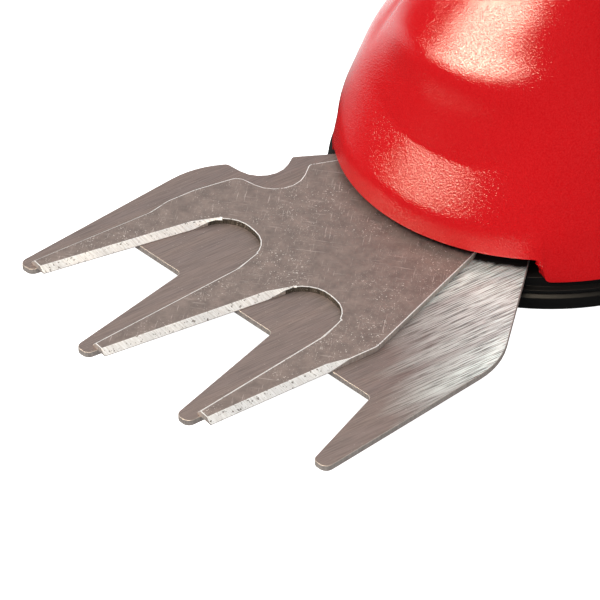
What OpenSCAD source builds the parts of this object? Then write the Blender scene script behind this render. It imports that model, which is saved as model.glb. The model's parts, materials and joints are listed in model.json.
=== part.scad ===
// Cordless grass shears: a fanned pair of blades under a moulded front hood,
// a loop handle with a trigger, and a slide-on battery behind.
// The origin is on the floor under the middle of the length. +X points to the
// blade tips, +Y to the operator's left, +Z up. Lengths are in millimetres.

/* [Overall] */
// Length from the back of the battery to the blade tips
overall_l = 340; // [334:1:350]
// Height of the cutting plane above the floor
blade_z = 9.8; // [9.4:0.1:10.6]
// Wall of the moulded housing
wall = 2.5; // [2:0.1:2.8]
// Clearance between loose pieces
gap = 0.3; // [0.25:0.05:0.4]
// Radial clearance of a running shaft
run_gap = 0.05; // [0.03:0.01:0.08]

/* [Blades] */
// Reach of the lower tips from the pivot
tip_r = 103; // [101:0.5:105]
// Width across the lower blade
lower_w = 103.4; // [102:0.2:104]
// Thickness of a blade
blade_t = 1.5; // [1.3:0.1:1.6]
// Half of the upper blade's swing in degrees
swing_half = 8; // [7:0.25:8.25]
// Width of the bevel ground on an upper tooth
bevel_w = 1.4; // [1:0.1:1.5]
// Flat left on a ground edge
edge_land = 0.2; // [0.1:0.05:0.4]
// Distance from the pivot to the crank axis
tail_l = 28; // [27.5:0.1:28.5]

/* [Hood] */
// Radius of the hood's rim
hood_r = 50.6; // [50:0.1:51]
// Height of the hood above the cutting plane
hood_h = 70; // [68:0.5:72]
// Distance of the hood's axis behind the blade pivot
hood_back = 31.3; // [31:0.1:32]
// Half angle of the blade slot in degrees
slot_half = 46; // [44:0.5:46]
// Height of the blade slot above the cutting plane
slot_top = 4; // [3.6:0.1:4.4]
// Depth of the crease beside the neck
crease_d = 1.3; // [0.8:0.1:1.5]

/* [Base] */
// Radius of the base plate
base_r = 52; // [51.8:0.1:52.4]
// Floor of the base plate
base_floor = 2.5; // [2:0.1:2.8]
// Depth of the hood's seat below the cutting plane
seat_drop = 2.4; // [2.2:0.1:2.6]

/* [Handle] */
// Height of the grip's middle above the cutting plane
grip_z = 87; // [86:0.5:90]
// Half width of the grip
grip_hw = 16.5; // [16:0.25:17.5]
// Half thickness of the grip
grip_ht = 15.5; // [15:0.25:16]
// Half width of the lower deck
deck_hw = 32; // [31:0.5:33]
// Height of the lower deck above the cutting plane
deck_top = 24.5; // [23:0.5:26]
// Height of the deck's flat bottom above the floor
deck_lift = 3.8; // [3:0.1:4.2]
// Thickness of the soft sleeve
sleeve_t = 1.2; // [0.8:0.1:1.6]

/* [Drive] */
// Module of the gears
gear_m = 0.8; // [0.79:0.01:0.81]
// Teeth on the crank gear
crank_teeth = 48; // [47:1:49]
// Teeth on each small gear
pinion_teeth = 12; // [12:1:12]
// Teeth on the large idler gear
idler_teeth = 42; // [41:1:43]
// Distance of the motor behind the crank axis
motor_back = 22; // [21.5:0.1:22.5]
// Radius of the motor can
motor_r = 14; // [13.5:0.1:14.2]
// Length of the motor can
motor_l = 38; // [36:0.5:39]
// Radius of the motor shaft
shaft_r = 1.6; // [1.5:0.05:1.7]

/* [Controls] */
// Width of the trigger
trigger_w = 14; // [12:0.5:15]
// Reach of the trigger from its pin
trigger_l = 33; // [31:0.5:34]
// Radius of the lock-off button
lock_r = 5; // [4.5:0.1:5.2]
// Travel of the lock-off button
lock_travel = 4; // [3:0.5:4]

/* [Battery] */
// Depth of the battery behind the shoe
battery_d = 43; // [42:0.5:44]
// Width of the battery
battery_w = 74; // [72:1:78]
// Height of the battery
battery_h = 80; // [79:1:84]
// Radius of a cell
cell_r = 9; // [8.8:0.1:9.1]
// Length of a cell
cell_l = 65; // [62:1:65]
// Half width of the rail's head
rail_hw = 24; // [22:0.5:25]
// Length of the rail
rail_l = 56; // [54:1:58]
// Travel of the release button
button_travel = 3; // [2:0.5:3]

/* [Hidden] */
$fn = 64;

// Overrun of every cut
cut = 1;

// Places along the length, from the blade pivot
lower_tip_share = 0.9845;
tip_x = tip_r * lower_tip_share;
pivot_x = overall_l / 2 - tip_x;
rear_x = tip_x - overall_l;
hood_x = -hood_back;
floor_z = -blade_z;

// Lower blade: corners as shares of the reach and of the half width, with a fillet share.
// The notch is in the operator's right side only, from the back to the front
lower_hw = lower_w / 2;
lower_front_shares = [
    [0.636, 0.159, 0.0146], [0.9845, 0.288, 0.0184], [0.9845, 0.3675, 0.0184],
    [0.636, 0.439, 0.0146], [0.636, 0.783, 0.0146], [0.8757, 0.917, 0.0184],
    [0.8757, 1, 0.0194], [0.341, 1, 0.2136]
];
lower_rear_shares = [[-0.102, 0.377, 0.039], [-0.175, 0.28, 0.029]];
lower_notch_shares = [[0.1476, -0.7427, 0.0075], [0.2661, -0.6223, 0.068], [0.2767, -0.909, 0.0146]];

// Upper blade: the same, for its sharp lower outline ahead of the tail
upper_front_shares = [
    [0.969, 0.0503, 0.004], [0.4466, 0.1547, 0.0757], [0.4466, 0.4603, 0.0757],
    [0.9155, 0.607, 0.004], [0.9155, 0.7118, 0.004], [0.47, 0.712, 0.05]
];
upper_rear_shares = [[0.0913, 0.419, 0.1165]];
upper_notch_shares = [
    [0.09, -0.49, 0.1165], [0.196, -0.567, 0.012], [0.3129, -0.3733, 0.0718], [0.3573, -0.678, 0.03]
];
bevel_start_shares = [0.21, 0.21, 0.287];
bevel_run_l = 6;
fillet_steps = 6;

// Crank pin, its roller and the slot in the upper blade's tail
crank_e = tail_l * sin(swing_half);
crank_pin_r = 2.5;
roller_r = 4;
slot_side_gap = 0.85;
slot_end_gap = 1;
tail_rim = 3.2;
tail_hw = roller_r + slot_side_gap + tail_rim;
slot_front_x = -tail_l + roller_r + slot_end_gap;
slot_rear_x = -tail_l - crank_e - roller_r - slot_end_gap;
tail_end_x = slot_rear_x - tail_rim;
tail_root_x = -9;
tail_fillet = 5;

// Blade pivot
bush_r = 4.5;
bolt_r = 3;
bush_over = 0.1;
washer_r = 7;
washer_t = 0.5;
bolt_head_r = 5.5;
bolt_head_h = 3;
hex_sides = 6;
bolt_socket_r = 2.9;
nut_r = 5.7;
nut_h = 4;
nut_up = 1;
bolt_under = 0.5;

// Screws
screw_r = 1.5;
screw_head_r = 2.8;
screw_head_h = 1.8;
drive_r = 1.3;
drive_d = 1;
blade_screw_x = -10;
blade_screw_y = 14.5;
blade_screw_l = 4.5;

// Hood rows: height and radius at the front, the side and the back, as shares
hood_row_shares = [
    [0.1214, 0.9921, 0.157, 0.972, 0.157, 0.958],
    [0.1371, 0.976, 0.174, 0.960, 0.171, 0.949],
    [0.290, 0.783, 0.400, 0.876, 0.343, 0.889],
    [0.309, 0.769, 0.429, 0.842, 0.429, 0.870],
    [0.443, 0.743, 0.493, 0.751, 0.543, 0.850],
    [0.571, 0.715, 0.571, 0.688, 0.657, 0.830],
    [0.664, 0.613, 0.686, 0.623, 0.757, 0.810],
    [0.757, 0.506, 0.793, 0.553, 0.843, 0.791],
    [0.850, 0.385, 0.886, 0.474, 0.914, 0.751],
    [0.929, 0.251, 0.957, 0.356, 0.971, 0.652],
    [1, 0.05, 1, 0.17, 1, 0.40]
];
crease_row_shares = [0, 0, 0, 0.25, 0.8, 1, 1, 0.8, 0.4, 0, 0];
half_angles = [0, 9, 18, 27, 36, 43, 47.5, 52, 58, 66, 77, 90, 104, 120, 138, 158];
front_angle = 12;
side_angle = 62;
back_angle = 95;
crease_angle = 47.5;
crease_spread = 5;
cavity_drop_share = 0.6;
slot_round = 2.3;
slot_steps = 5;
part_back = 6;
part_x = hood_x - part_back;
reach = 2 * overall_l;

// Base plate profile, as steps of its rim
base_neck_in = 2;
band_split_h = 5.7;
band_step = 0.6;
band_groove = 0.3;
band_edge = 0.8;
base_band_drop = 1.6;
base_neck_r = base_r - base_neck_in;
base_wall = 3.5;
sill_share = 0.989;
sill_back_x = -24;
seat_z = -seat_drop;
base_top_z = floor_z + base_floor;

// Handle stations: place along the handle, height, half width, half thickness
shoe_t = 2.5;
column_back_x = rear_x + battery_d + shoe_t;
column_half = 14;
handle_l = hood_x - column_back_x - column_half;
grip_station_shares = [
    [0.079, 0.52, 1.33, 1.12], [0.235, 0.855, 1.21, 1.08], [0.375, 0.968, 1.06, 1],
    [0.535, 1, 1, 1], [0.704, 0.977, 1, 1.03], [0.861, 0.902, 1.06, 1.03],
    [0.956, 0.759, 1.21, 0.97], [0.997, 0.552, 1.455, 0.9], [1, 0.299, 1.70, 0.9],
    [1, 0.046, 1.82, 0.9]
];
grip_steps = 2;
grip_sides = 24;
grip_square_share = 0.2;
sleeve_first = 7;
sleeve_last = 11;

// Deck stations: place along the handle, half width, height
deck_station_shares = [
    [0.13, 1, 1.13], [0.24, 1.2, 1.115], [0.34, 1.2, 1.1], [0.45, 1.12, 1.085], [0.636, 1.03, 1.06],
    [0.806, 1, 1.035], [0.928, 1, 1.02], [1.1, 1, 1]
];
deck_square_share = 0.375;
deck_sides = 28;
deck_flat_z = floor_z + deck_lift;
deck_under = 1;
shell_sides = 24;

// Gears
press_a = 25;
addendum_share = 0.9;
dedendum_share = 1.2;
backlash = 0.12;
flank_shares = [0, 0.35, 0.7, 1];
crank_a = (crank_teeth + pinion_teeth) * gear_m / 2;
idler_a = (idler_teeth + pinion_teeth) * gear_m / 2;
crank_x = -tail_l;
motor_x = crank_x - motor_back;
idler_dx = (crank_a * crank_a + motor_back * motor_back - idler_a * idler_a) / (2 * motor_back);
idler_x = crank_x - idler_dx;
idler_y = sqrt(crank_a * crank_a - idler_dx * idler_dx);
crank_phase = 0;
idler_dir = atan2(idler_y, idler_x - crank_x);
idler_phase = mesh_phase(crank_phase, crank_teeth, pinion_teeth, idler_dir);
motor_dir = atan2(-idler_y, motor_x - idler_x);
pinion_phase = mesh_phase(idler_phase, idler_teeth, pinion_teeth, motor_dir);

// Heights of the drive above the cutting plane
gear_lift = 1.1;
gear_z = blade_t + gear_lift;
gear_t = 5;
crank_web = 2;
stage_gap = 1.6;
idler_big_z = gear_z + gear_t + stage_gap;
idler_big_t = 4;
plate_clear = 2;
plate_z = idler_big_z + idler_big_t + plate_clear;
plate_t = 3;
motor_z = plate_z + plate_t;
washer_gap = 1;
hub_r = 5.2;
hub_top_z = plate_z - washer_gap;
crank_bush_r = 3.6;
axle_r = 2.5;
idler_pin_r = 2;
idler_boss_r = 4;
idler_boss_drop = 0.2;
crank_washer_r = 5;
pin_under = 0.8;
roller_under = 0.6;
roller_over = 0.8;

// Gear plate: outline corners and post places from the crank axis, as shares of the hood's radius
plate_corner_shares = [
    [0.474, 0.652], [0.474, -0.652], [-0.79, -0.632], [-0.909, -0.237], [-0.909, 0.435],
    [-0.498, 0.721], [-0.079, 0.83]
];
plate_fillet = 7;
post_shares = [[0.277, 0.534], [0.277, -0.534], [-0.672, -0.435], [-0.78, 0.188]];
post_places = [for (s = post_shares) [crank_x + s[0] * hood_r, s[1] * hood_r]];
post_r = 3.5;
plate_hole_r = 6.5;
motor_screw_d = 8;
motor_screw_head_h = 1.4;
motor_screw_head_r = 2;
motor_screw_r = 1.25;
base_screw_l = 9;
base_head_up = 1.2;

// Motor inside
can_wall = 1.2;
can_face = 1.6;
magnet_t = 3;
magnet_half = 70;
rotor_gap = 0.4;
rotor_r = motor_r - can_wall - magnet_t - rotor_gap;
rotor_up = 6;
rotor_l = 24;
collector_r = 5;
collector_l = 5;
cap_t = 4;
cap_in = 0.5;
shaft_over = 2;
tab_w = 4;
tab_t = 0.8;
tab_h = 4;
pinion_up = 0.6;

// Trigger: corners from its pin as shares of its reach
trigger_pin_share = 0.3295;
trigger_pin_drop = 12;
trigger_pin_x = hood_x - trigger_pin_share * handle_l;
trigger_pin_z = grip_z - trigger_pin_drop;
trigger_pin_r = 2;
trigger_corner_shares = [
    [0.15, 0.13], [-0.9, 0.18], [-1, -0.03], [-0.9, -0.24], [-0.68, -0.37], [-0.3, -0.32], [0.12, -0.16]
];
trigger_fillet_share = 0.07;
trigger_pin_l = 24;
spring_turns = 3;
spring_wire_r = 0.4;
spring_pitch = 1.1;
spring_coil_r = 2.7;
spring_sides = 6;
spring_rings = 12;
switch_l = 20;
switch_w = 10;
switch_h = 9;
switch_lift = 13;
switch_back = 13;

// Lock-off button, a push-through pin across the handle
lock_share = 0.2483;
lock_drop = 1;
lock_x = hood_x - lock_share * handle_l;
lock_z = grip_z - lock_drop;
lock_l = 40;
lock_end = 1;

// Vents beside the motor
vent_count = 4;
vent_r = 1.2;
vent_l = 14;
vent_pitch = 4.5;
vent_low = 26;
vent_lean = 3;
vent_back = 7;
vent_sides = 12;

// Control board, in shares of the handle's length
board_front_share = 0.4872;
board_share = 0.2436;
board_back = board_front_share * handle_l;
board_l = board_share * handle_l;
board_w = 56;
board_t = 1.6;
board_z = 3;
rib_w = 8;
rib_gap = 0.1;
part_h = 9;
part_r = 4;
sink_w = 16;
sink_t = 1.5;
sink_fins = 4;
sink_pitch = 3.5;

// Battery and its shoe
shoe_w = 58;
shoe_low = 6;
shoe_high = 64;
stem_t = 2.5;
head_t = 2.5;
stem_in = 4;
rail_low = 6;
rail_gap = 0.4;
battery_low = 1.5;
battery_fillet = 8;
battery_edge = 5;
groove_count = 6;
groove_w = 2;
groove_d = 1;
groove_pitch = 4.5;
groove_low = 22;
groove_inset = 8;
battery_wall = 2;
battery_front_x = column_back_x - shoe_t - gap;
battery_split = 20;
blade_count = 3;
blade_pitch = 12;
contact_t = 0.8;
contact_h = 9;
contact_gap = 0.4;
cell_gap = 0.4;
cell_step_share = 0.69;
cell_front = 1.5;
cell_up = 5.5;
cell_count = 5;
button_w = 26;
button_h = 9;
button_drop = 7;
button_t = 5;
button_stop = 2;
button_lip = 1.5;
rear_edge = 3;
foot_l = 18;
foot_w = 44;
foot_back = 22;
foot_fillet = 4;

// Screws that close the body: shares of the handle's length and height
housing_shares = [[0.188, 0.885], [0.384, 0.034], [0.85, 0.069], [1.006, 0.644]];
housing_places = [for (s = housing_shares) [hood_x - s[0] * handle_l, s[1] * grip_z]];
boss_r = 4;
house_head_r = 3;
house_head_h = 2.4;
house_l = 14;
head_sink = 4;

// Colours
red = [0.80, 0.10, 0.11];
black = [0.10, 0.10, 0.11];
steel = [0.55, 0.51, 0.48];
bright = [0.75, 0.75, 0.76];
brass = [0.75, 0.58, 0.28];
green = [0.10, 0.32, 0.18];
cream = [0.86, 0.84, 0.78];
blue = [0.15, 0.32, 0.62];

// Plain functions
function ease(t) = let (u = min(1, max(0, t))) u * u * (3 - 2 * u);
function mix(a, b, t) = a + (b - a) * t;
function unit(v) = v / norm(v);
function last(list) = list[len(list) - 1];
function flip(list) = [for (i = [len(list) - 1:-1:0]) [list[i][0], -list[i][1], list[i][2]]];

// Outline through corners [x, y, fillet radius], with an arc at each filleted corner
function fillet_arc(p, c, n, r) =
    let (
        u = unit(p - c),
        v = unit(n - c),
        half = acos(u * v) / 2,
        centre = c + unit(u + v) * r / sin(half),
        from = c + u * r / tan(half) - centre,
        to = c + v * r / tan(half) - centre,
        a0 = atan2(from[1], from[0]),
        turn = atan2(from[0] * to[1] - from[1] * to[0], from * to)
    )
    [for (k = [0:fillet_steps]) centre + polar(r, a0 + turn * k / fillet_steps)];
function xy(p) = [p[0], p[1]];
function rounded(corners) =
    [for (i = [0:len(corners) - 1])
        let (
            count = len(corners),
            p = corners[(i + count - 1) % count],
            c = corners[i],
            n = corners[(i + 1) % count]
        )
        each c[2] > 0 ? fillet_arc(xy(p), xy(c), xy(n), c[2]) : [xy(c)]];
function fillet_all(corners, r) = [for (c = corners) [c[0], c[1], r]];

// Blade corners in millimetres
function blade_corners(shares) = [for (s = shares) [s[0] * tip_r, s[1] * lower_hw, s[2] * tip_r]];

// Involute gear outline
function involute(a) = tan(a) * 180 / PI - a;
function tooth_half(teeth, r) =
    let (
        pitch_r = gear_m * teeth / 2,
        base = pitch_r * cos(press_a),
        slack = backlash / 2 / pitch_r * 180 / PI,
        a = r > base ? acos(base / r) : 0
    )
    90 / teeth - slack + involute(press_a) - involute(a);
function root_radius(teeth) = gear_m * (teeth / 2 - dedendum_share);
function tip_radius(teeth) = gear_m * (teeth / 2 + addendum_share);
function flank_radius(teeth, s) = mix(root_radius(teeth), tip_radius(teeth), s);
function polar(r, a) = r * [cos(a), sin(a)];
function tooth_points(teeth, a) = concat(
    [for (s = flank_shares)
        let (r = flank_radius(teeth, s)) polar(r, a - tooth_half(teeth, r))],
    [for (i = [len(flank_shares) - 1:-1:0])
        let (r = flank_radius(teeth, flank_shares[i])) polar(r, a + tooth_half(teeth, r))]
);
function gear_points(teeth, phase) =
    [for (i = [0:teeth - 1]) each tooth_points(teeth, phase + 360 * i / teeth)];
function mesh_phase(phase, teeth, other, dir) =
    dir + 180 - (0.5 - (dir - phase) * teeth / 360) * 360 / other;

// Hood surface in rings about its axis
all_angles = concat(half_angles, [180], [for (i = [len(half_angles) - 1:-1:1]) -half_angles[i]]);
function side_part(a) = ease((abs(a) - front_angle) / (side_angle - front_angle));
function back_part(a) = ease((abs(a) - back_angle) / (180 - back_angle));
function across(row, k, a) = mix(mix(row[k], row[k + 2], side_part(a)), row[k + 4], back_part(a));
function crease(a, i) =
    crease_d * crease_row_shares[i] * max(0, 1 - abs(abs(a) - crease_angle) / crease_spread);
function hood_point(i, a) =
    let (row = hood_row_shares[i], r = across(row, 1, a) * hood_r - crease(a, i))
    [hood_x + r * cos(a), r * sin(a), across(row, 0, a) * hood_h];
function rim_point(a) = [hood_x + hood_r * cos(a), hood_r * sin(a), seat_z];
function hood_rings() = concat(
    [[for (a = all_angles) rim_point(a)]],
    [for (i = [0:len(hood_row_shares) - 1]) [for (a = all_angles) hood_point(i, a)]]
);
function cavity_ring(i) =
    [for (a = all_angles)
        let (
            row = hood_row_shares[i],
            r = across(row, 1, a) * hood_r - wall,
            drop = i > 1 ? wall * cavity_drop_share : 0
        )
        [hood_x + r * cos(a), r * sin(a), across(row, 0, a) * hood_h - drop]];
function cavity_foot() =
    [for (a = all_angles) [hood_x + (hood_r - wall) * cos(a), (hood_r - wall) * sin(a), seat_z - cut]];
function strip_faces(rows, sides) =
    [for (i = [0:rows - 2]) for (j = [0:sides - 1])
        let (k = (j + 1) % sides)
        each [[i * sides + j, (i + 1) * sides + j, i * sides + k],
              [i * sides + k, (i + 1) * sides + j, (i + 1) * sides + k]]];
function cap_faces(rows, sides) = [
    [for (j = [0:sides - 1]) j],
    [for (j = [sides - 1:-1:0]) (rows - 1) * sides + j]
];

// Closed solid through rings of equal length
module loft(rings) {
    rows = len(rings);
    sides = len(rings[0]);
    polyhedron([for (ring = rings) each ring], concat(strip_faces(rows, sides), cap_faces(rows, sides)));
}

// Oval outline between an ellipse and a rectangle
function oval(hw, hh, square_share, sides) =
    [for (i = [0:sides - 1])
        let (a = 360 * (i + 0.5) / sides, c = cos(a), s = sin(a), power = 1 - square_share)
        [sign(c) * pow(abs(c), power) * hw, sign(s) * pow(abs(s), power) * hh]];

// Smooth path of the grip through its stations [x, z, half width, half thickness]
grip_stations = [for (s = grip_station_shares)
    [hood_x - s[0] * handle_l, s[1] * grip_z, s[2] * grip_hw, s[3] * grip_ht]];
function held(list, i) = list[min(len(list) - 1, max(0, i))];
function spline(p, q, r, s, t) =
    0.5 * (2 * q + (r - p) * t + (2 * p - 5 * q + 4 * r - s) * t * t + (3 * q - p - 3 * r + s) * t * t * t);
grip_path = concat(
    [for (i = [0:len(grip_stations) - 2]) for (k = [0:grip_steps - 1])
        spline(held(grip_stations, i - 1), grip_stations[i], grip_stations[i + 1],
            held(grip_stations, i + 2), k / grip_steps)],
    [last(grip_stations)]
);
function grip_tilt(k) =
    let (a = held(grip_path, k - 1), b = held(grip_path, k + 1)) atan2(b[1] - a[1], b[0] - a[0]);

// Everything is drawn from the blade pivot on the cutting plane
module from_pivot() translate([pivot_x, 0, blade_z]) children();

module at(x, y, z) translate([x, y, z]) children();

// Solid rod up from z0 to z1
module rod(r, z0, z1) translate([0, 0, z0]) cylinder(r = r, h = z1 - z0);

module box_to(low, high) translate(low) cube(high - low);

function grip_ring(k, grow) =
    let (p = grip_path[k], tilt = grip_tilt(k))
    [for (q = oval(p[2] + grow, p[3] + grow, grip_square_share, grip_sides))
        [p[0] + q[1] * sin(tilt), -q[0], p[1] - q[1] * cos(tilt)]];

module grip_run(grow, first, final) loft([for (k = [first:final]) grip_ring(k, grow)]);

function deck_ring(s, grow) =
    let (
        high = s[2] * deck_top + grow,
        low = deck_flat_z - deck_under - grow,
        hw = s[1] * deck_hw + grow
    )
    [for (q = oval(hw, (high - low) / 2, deck_square_share, deck_sides))
        [hood_x - s[0] * handle_l, -q[0], (high + low) / 2 + q[1]]];

module deck_run(grow) loft([for (s = deck_station_shares) deck_ring(s, grow)]);

// Outer form of the whole body
module body_outer() {
    intersection() {
        union() {
            loft(hood_rings());
            deck_run(0);
            grip_run(0, 0, len(grip_path) - 1);
        }
        box_to([column_back_x, -reach, deck_flat_z], [reach, reach, reach]);
    }
}

// Hollow inside the hood and the column behind it
module hood_cavity() {
    rows = len(hood_row_shares) - 2;
    hull() loft([cavity_foot(), cavity_ring(0)]);
    for (i = [0:rows - 1])
        hull() loft([cavity_ring(i), cavity_ring(i + 1)]);
}

// Wedge over the blades, open to the front
module wedge(half, low, high) {
    edge = polar(reach, half);
    translate([hood_x, 0, low])
        linear_extrude(high - low)
            polygon([[0, 0], [edge[0], -edge[1]], edge]);
}

module blade_slot() {
    for (k = [0:slot_steps]) {
        a = 90 * k / slot_steps;
        inset = slot_round * (1 - cos(a)) / hood_r * 180 / PI;
        wedge(slot_half - inset, seat_z - cut, slot_top - slot_round * (1 - sin(a)));
    }
}

module front_hood() {
    color(red) from_pivot()
        difference() {
            intersection() {
                loft(hood_rings());
                box_to([part_x, -reach, seat_z], [reach, reach, reach]);
            }
            hood_cavity();
            blade_slot();
        }
}

// Pocket for the trigger, the lock-off button and the closing screws
module trigger_slot() {
    front = trigger_pin_x + trigger_l * trigger_corner_shares[0][0] + cut;
    box_to(
        [trigger_pin_x - trigger_l - gap, -trigger_w / 2 - gap, trigger_pin_z - trigger_l / 2],
        [front, trigger_w / 2 + gap, trigger_pin_z + gap]
    );
}

module across_y(x, z, r, y0, y1, sides = $fn) {
    translate([x, y0, z]) rotate([-90, 0, 0]) cylinder(r = r, h = y1 - y0, $fn = sides);
}

module housing_bosses() {
    for (p = housing_places)
        across_y(p[0], p[1], boss_r, -reach, reach, shell_sides);
    board_ribs();
    switch_ribs();
    trigger_bosses();
}

module board_ribs() {
    for (side = [-1, 1])
        scale([1, side, 1])
            box_to([hood_x - board_back - board_l, board_w / 2 - rib_w, deck_flat_z],
                [hood_x - board_back, reach, board_z]);
}

module switch_ribs() {
    x = trigger_pin_x - switch_back;
    for (side = [-1, 1])
        scale([1, side, 1])
            box_to([x - switch_l, switch_w / 2 + rib_gap, trigger_pin_z + switch_lift],
                [x, reach, trigger_pin_z + switch_lift + switch_h]);
}

module trigger_bosses() {
    for (side = [-1, 1])
        scale([1, side, 1])
            across_y(trigger_pin_x, trigger_pin_z, boss_r, trigger_w / 2 + spring_room, reach, shell_sides);
}
spring_room = (spring_turns + 1) * spring_pitch + spring_wire_r;

module housing_holes() {
    for (p = housing_places) {
        across_y(p[0], p[1], screw_r + run_gap, -reach, house_l, shell_sides);
        across_y(p[0], p[1], house_head_r + gap, -reach, -head_sink, shell_sides);
    }
    across_y(lock_x, lock_z, lock_r + gap, -reach, reach, shell_sides);
    across_y(trigger_pin_x, trigger_pin_z, trigger_pin_r + run_gap,
        -trigger_pin_l / 2 - gap, trigger_pin_l / 2 + gap, shell_sides);
    across_y(trigger_pin_x, trigger_pin_z, spring_coil_r + spring_wire_r + gap,
        0, trigger_w / 2 + spring_room, shell_sides);
}

module motor_vents() {
    for (i = [0:vent_count - 1])
        let (x = part_x - vent_back - i * vent_pitch)
        hull() {
            across_y(x, vent_low, vent_r, -reach, reach, vent_sides);
            across_y(x - vent_lean, vent_low + vent_l, vent_r, -reach, reach, vent_sides);
        }
}

module inner_space() {
    hood_cavity();
    grip_run(-wall, 0, len(grip_path) - 1);
    intersection() {
        deck_run(-wall);
        box_to([column_back_x + wall, -reach, deck_flat_z + wall], [reach, reach, reach]);
    }
}

module shell_pair() {
    difference() {
        intersection() {
            body_outer();
            box_to([column_back_x, -reach, deck_flat_z], [part_x, reach, reach]);
        }
        difference() {
            inner_space();
            housing_bosses();
        }
        at(hood_x, 0, 0) rod(base_r + gap, floor_z - cut, seat_z);
        trigger_slot();
        housing_holes();
        motor_vents();
    }
}

module left_shell() {
    color(red) from_pivot()
        intersection() {
            shell_pair();
            box_to([-reach, 0, -reach], [reach, reach, reach]);
        }
}

module right_shell() {
    color(red) from_pivot()
        intersection() {
            shell_pair();
            box_to([-reach, -reach, -reach], [reach, 0, reach]);
        }
}

module grip_sleeve() {
    color(black) from_pivot()
        difference() {
            grip_run(sleeve_t, sleeve_first, sleeve_last);
            grip_run(0, sleeve_first - 1, sleeve_last + 1);
        }
}

// Base plate: a stepped rim, a floor, and a sill that carries the lower blade
module base_profile() {
    split = floor_z + band_split_h;
    low_top = split - 2 * band_groove - band_step;
    polygon([
        [0, floor_z], [base_r - band_edge, floor_z], [base_r, floor_z + band_edge],
        [base_r, low_top - band_edge], [base_r - band_edge, low_top],
        [base_r - band_edge, low_top + band_groove], [base_r - band_groove, low_top + band_step],
        [base_r - band_groove, seat_z - base_band_drop], [base_neck_r, seat_z - base_band_drop],
        [base_neck_r, seat_z], [base_neck_r - base_wall, seat_z],
        [base_neck_r - base_wall, base_top_z], [0, base_top_z]
    ]);
}

module blade_sill() {
    intersection() {
        at(hood_x, 0, 0) rod(base_neck_r, base_top_z, -blade_t);
        wedge(slot_half * sill_share, base_top_z, reach);
        box_to([sill_back_x, -reach, base_top_z], [reach, reach, reach]);
    }
}

module base_plate() {
    color(black) from_pivot()
        difference() {
            union() {
                at(hood_x, 0, 0) rotate_extrude($fn = 128) base_profile();
                blade_sill();
                at(idler_x, idler_y, 0) rod(idler_boss_r, base_top_z, gear_z - idler_boss_drop);
            }
            rod(bolt_r + run_gap, floor_z - cut, cut);
            at(0, 0, floor_z - cut) cylinder(r = nut_r + gap, h = nut_up + nut_h + cut, $fn = hex_sides);
            for (side = [-1, 1])
                at(blade_screw_x, side * blade_screw_y, 0)
                    rod(screw_r + run_gap, -blade_t - blade_screw_l, cut);
            at(idler_x, idler_y, 0) rod(idler_pin_r + run_gap, base_top_z, reach);
            for (p = post_places)
                at(p[0], p[1], 0) {
                    rod(screw_r + run_gap, floor_z - cut, cut);
                    rod(screw_head_r + gap, floor_z - cut, floor_z + base_head_up);
                }
        }
}

module rear_foot() {
    x = column_back_x + foot_back;
    color(black) from_pivot()
        at(x, 0, floor_z)
            linear_extrude(deck_lift)
                polygon(rounded(fillet_all(
                    [[-foot_l / 2, -foot_w / 2], [foot_l / 2, -foot_w / 2],
                     [foot_l / 2, foot_w / 2], [-foot_l / 2, foot_w / 2]], foot_fillet)));
}

// Blades
module lower_blade() {
    front = blade_corners(lower_front_shares);
    rear = blade_corners(lower_rear_shares);
    notch = blade_corners(lower_notch_shares);
    color(steel) from_pivot()
        translate([0, 0, -blade_t])
            linear_extrude(blade_t)
                difference() {
                    polygon(rounded(concat(front, rear, flip(rear), notch, flip(front))));
                    circle(r = bush_r);
                    for (side = [-1, 1])
                        translate([blade_screw_x, side * blade_screw_y]) circle(r = screw_r + run_gap);
                }
}

module tail_slot() {
    half_w = roller_r + slot_side_gap;
    long = slot_front_x - slot_rear_x - 2 * half_w + 2 * slot_side_gap;
    front = slot_front_x - half_w + slot_side_gap;
    translate([front, 0]) circle(r = half_w);
    translate([front - long, 0]) circle(r = half_w);
    translate([front - long, -half_w]) square([long, 2 * half_w]);
}

module along_edge(l) rotate([90, 0, 90]) linear_extrude(l) children();

// Bevel along an edge from a to b; before a its plane turns out of the blade over the run-out
module bevel_cut(a, b, side) {
    run = b - a;
    turn = atan2(bevel_w, bevel_run_l);
    out_w = bevel_w * cos(turn);
    rise = blade_t - edge_land;
    l = norm(run) + bevel_run_l + 2 * cut;
    translate([a[0], a[1], 0])
        rotate([0, 0, atan2(run[1], run[0])])
            intersection() {
                translate([-bevel_run_l - cut, 0, 0])
                    along_edge(l)
                        polygon([
                            [0, edge_land], [-side * bevel_w, blade_t], [-side * bevel_w, blade_t + cut],
                            [side * cut, blade_t + cut], [side * cut, edge_land]
                        ]);
                rotate([0, 0, -side * turn])
                    translate([-l, 0, 0])
                        along_edge(2 * l)
                            polygon([
                                [side * out_w, edge_land - rise], [-2 * side * out_w, blade_t + rise],
                                [side * l, blade_t + rise], [side * l, edge_land - rise]
                            ]);
            }
}

module upper_bevels(c) {
    bevel_cut(mix(xy(c[1]), xy(c[0]), bevel_start_shares[0]), xy(c[0]), 1);
    bevel_cut(mix(xy(c[2]), xy(c[3]), bevel_start_shares[1]), xy(c[3]), -1);
    bevel_cut(mix(xy(c[5]), xy(c[4]), bevel_start_shares[2]), xy(c[4]), 1);
}

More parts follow.
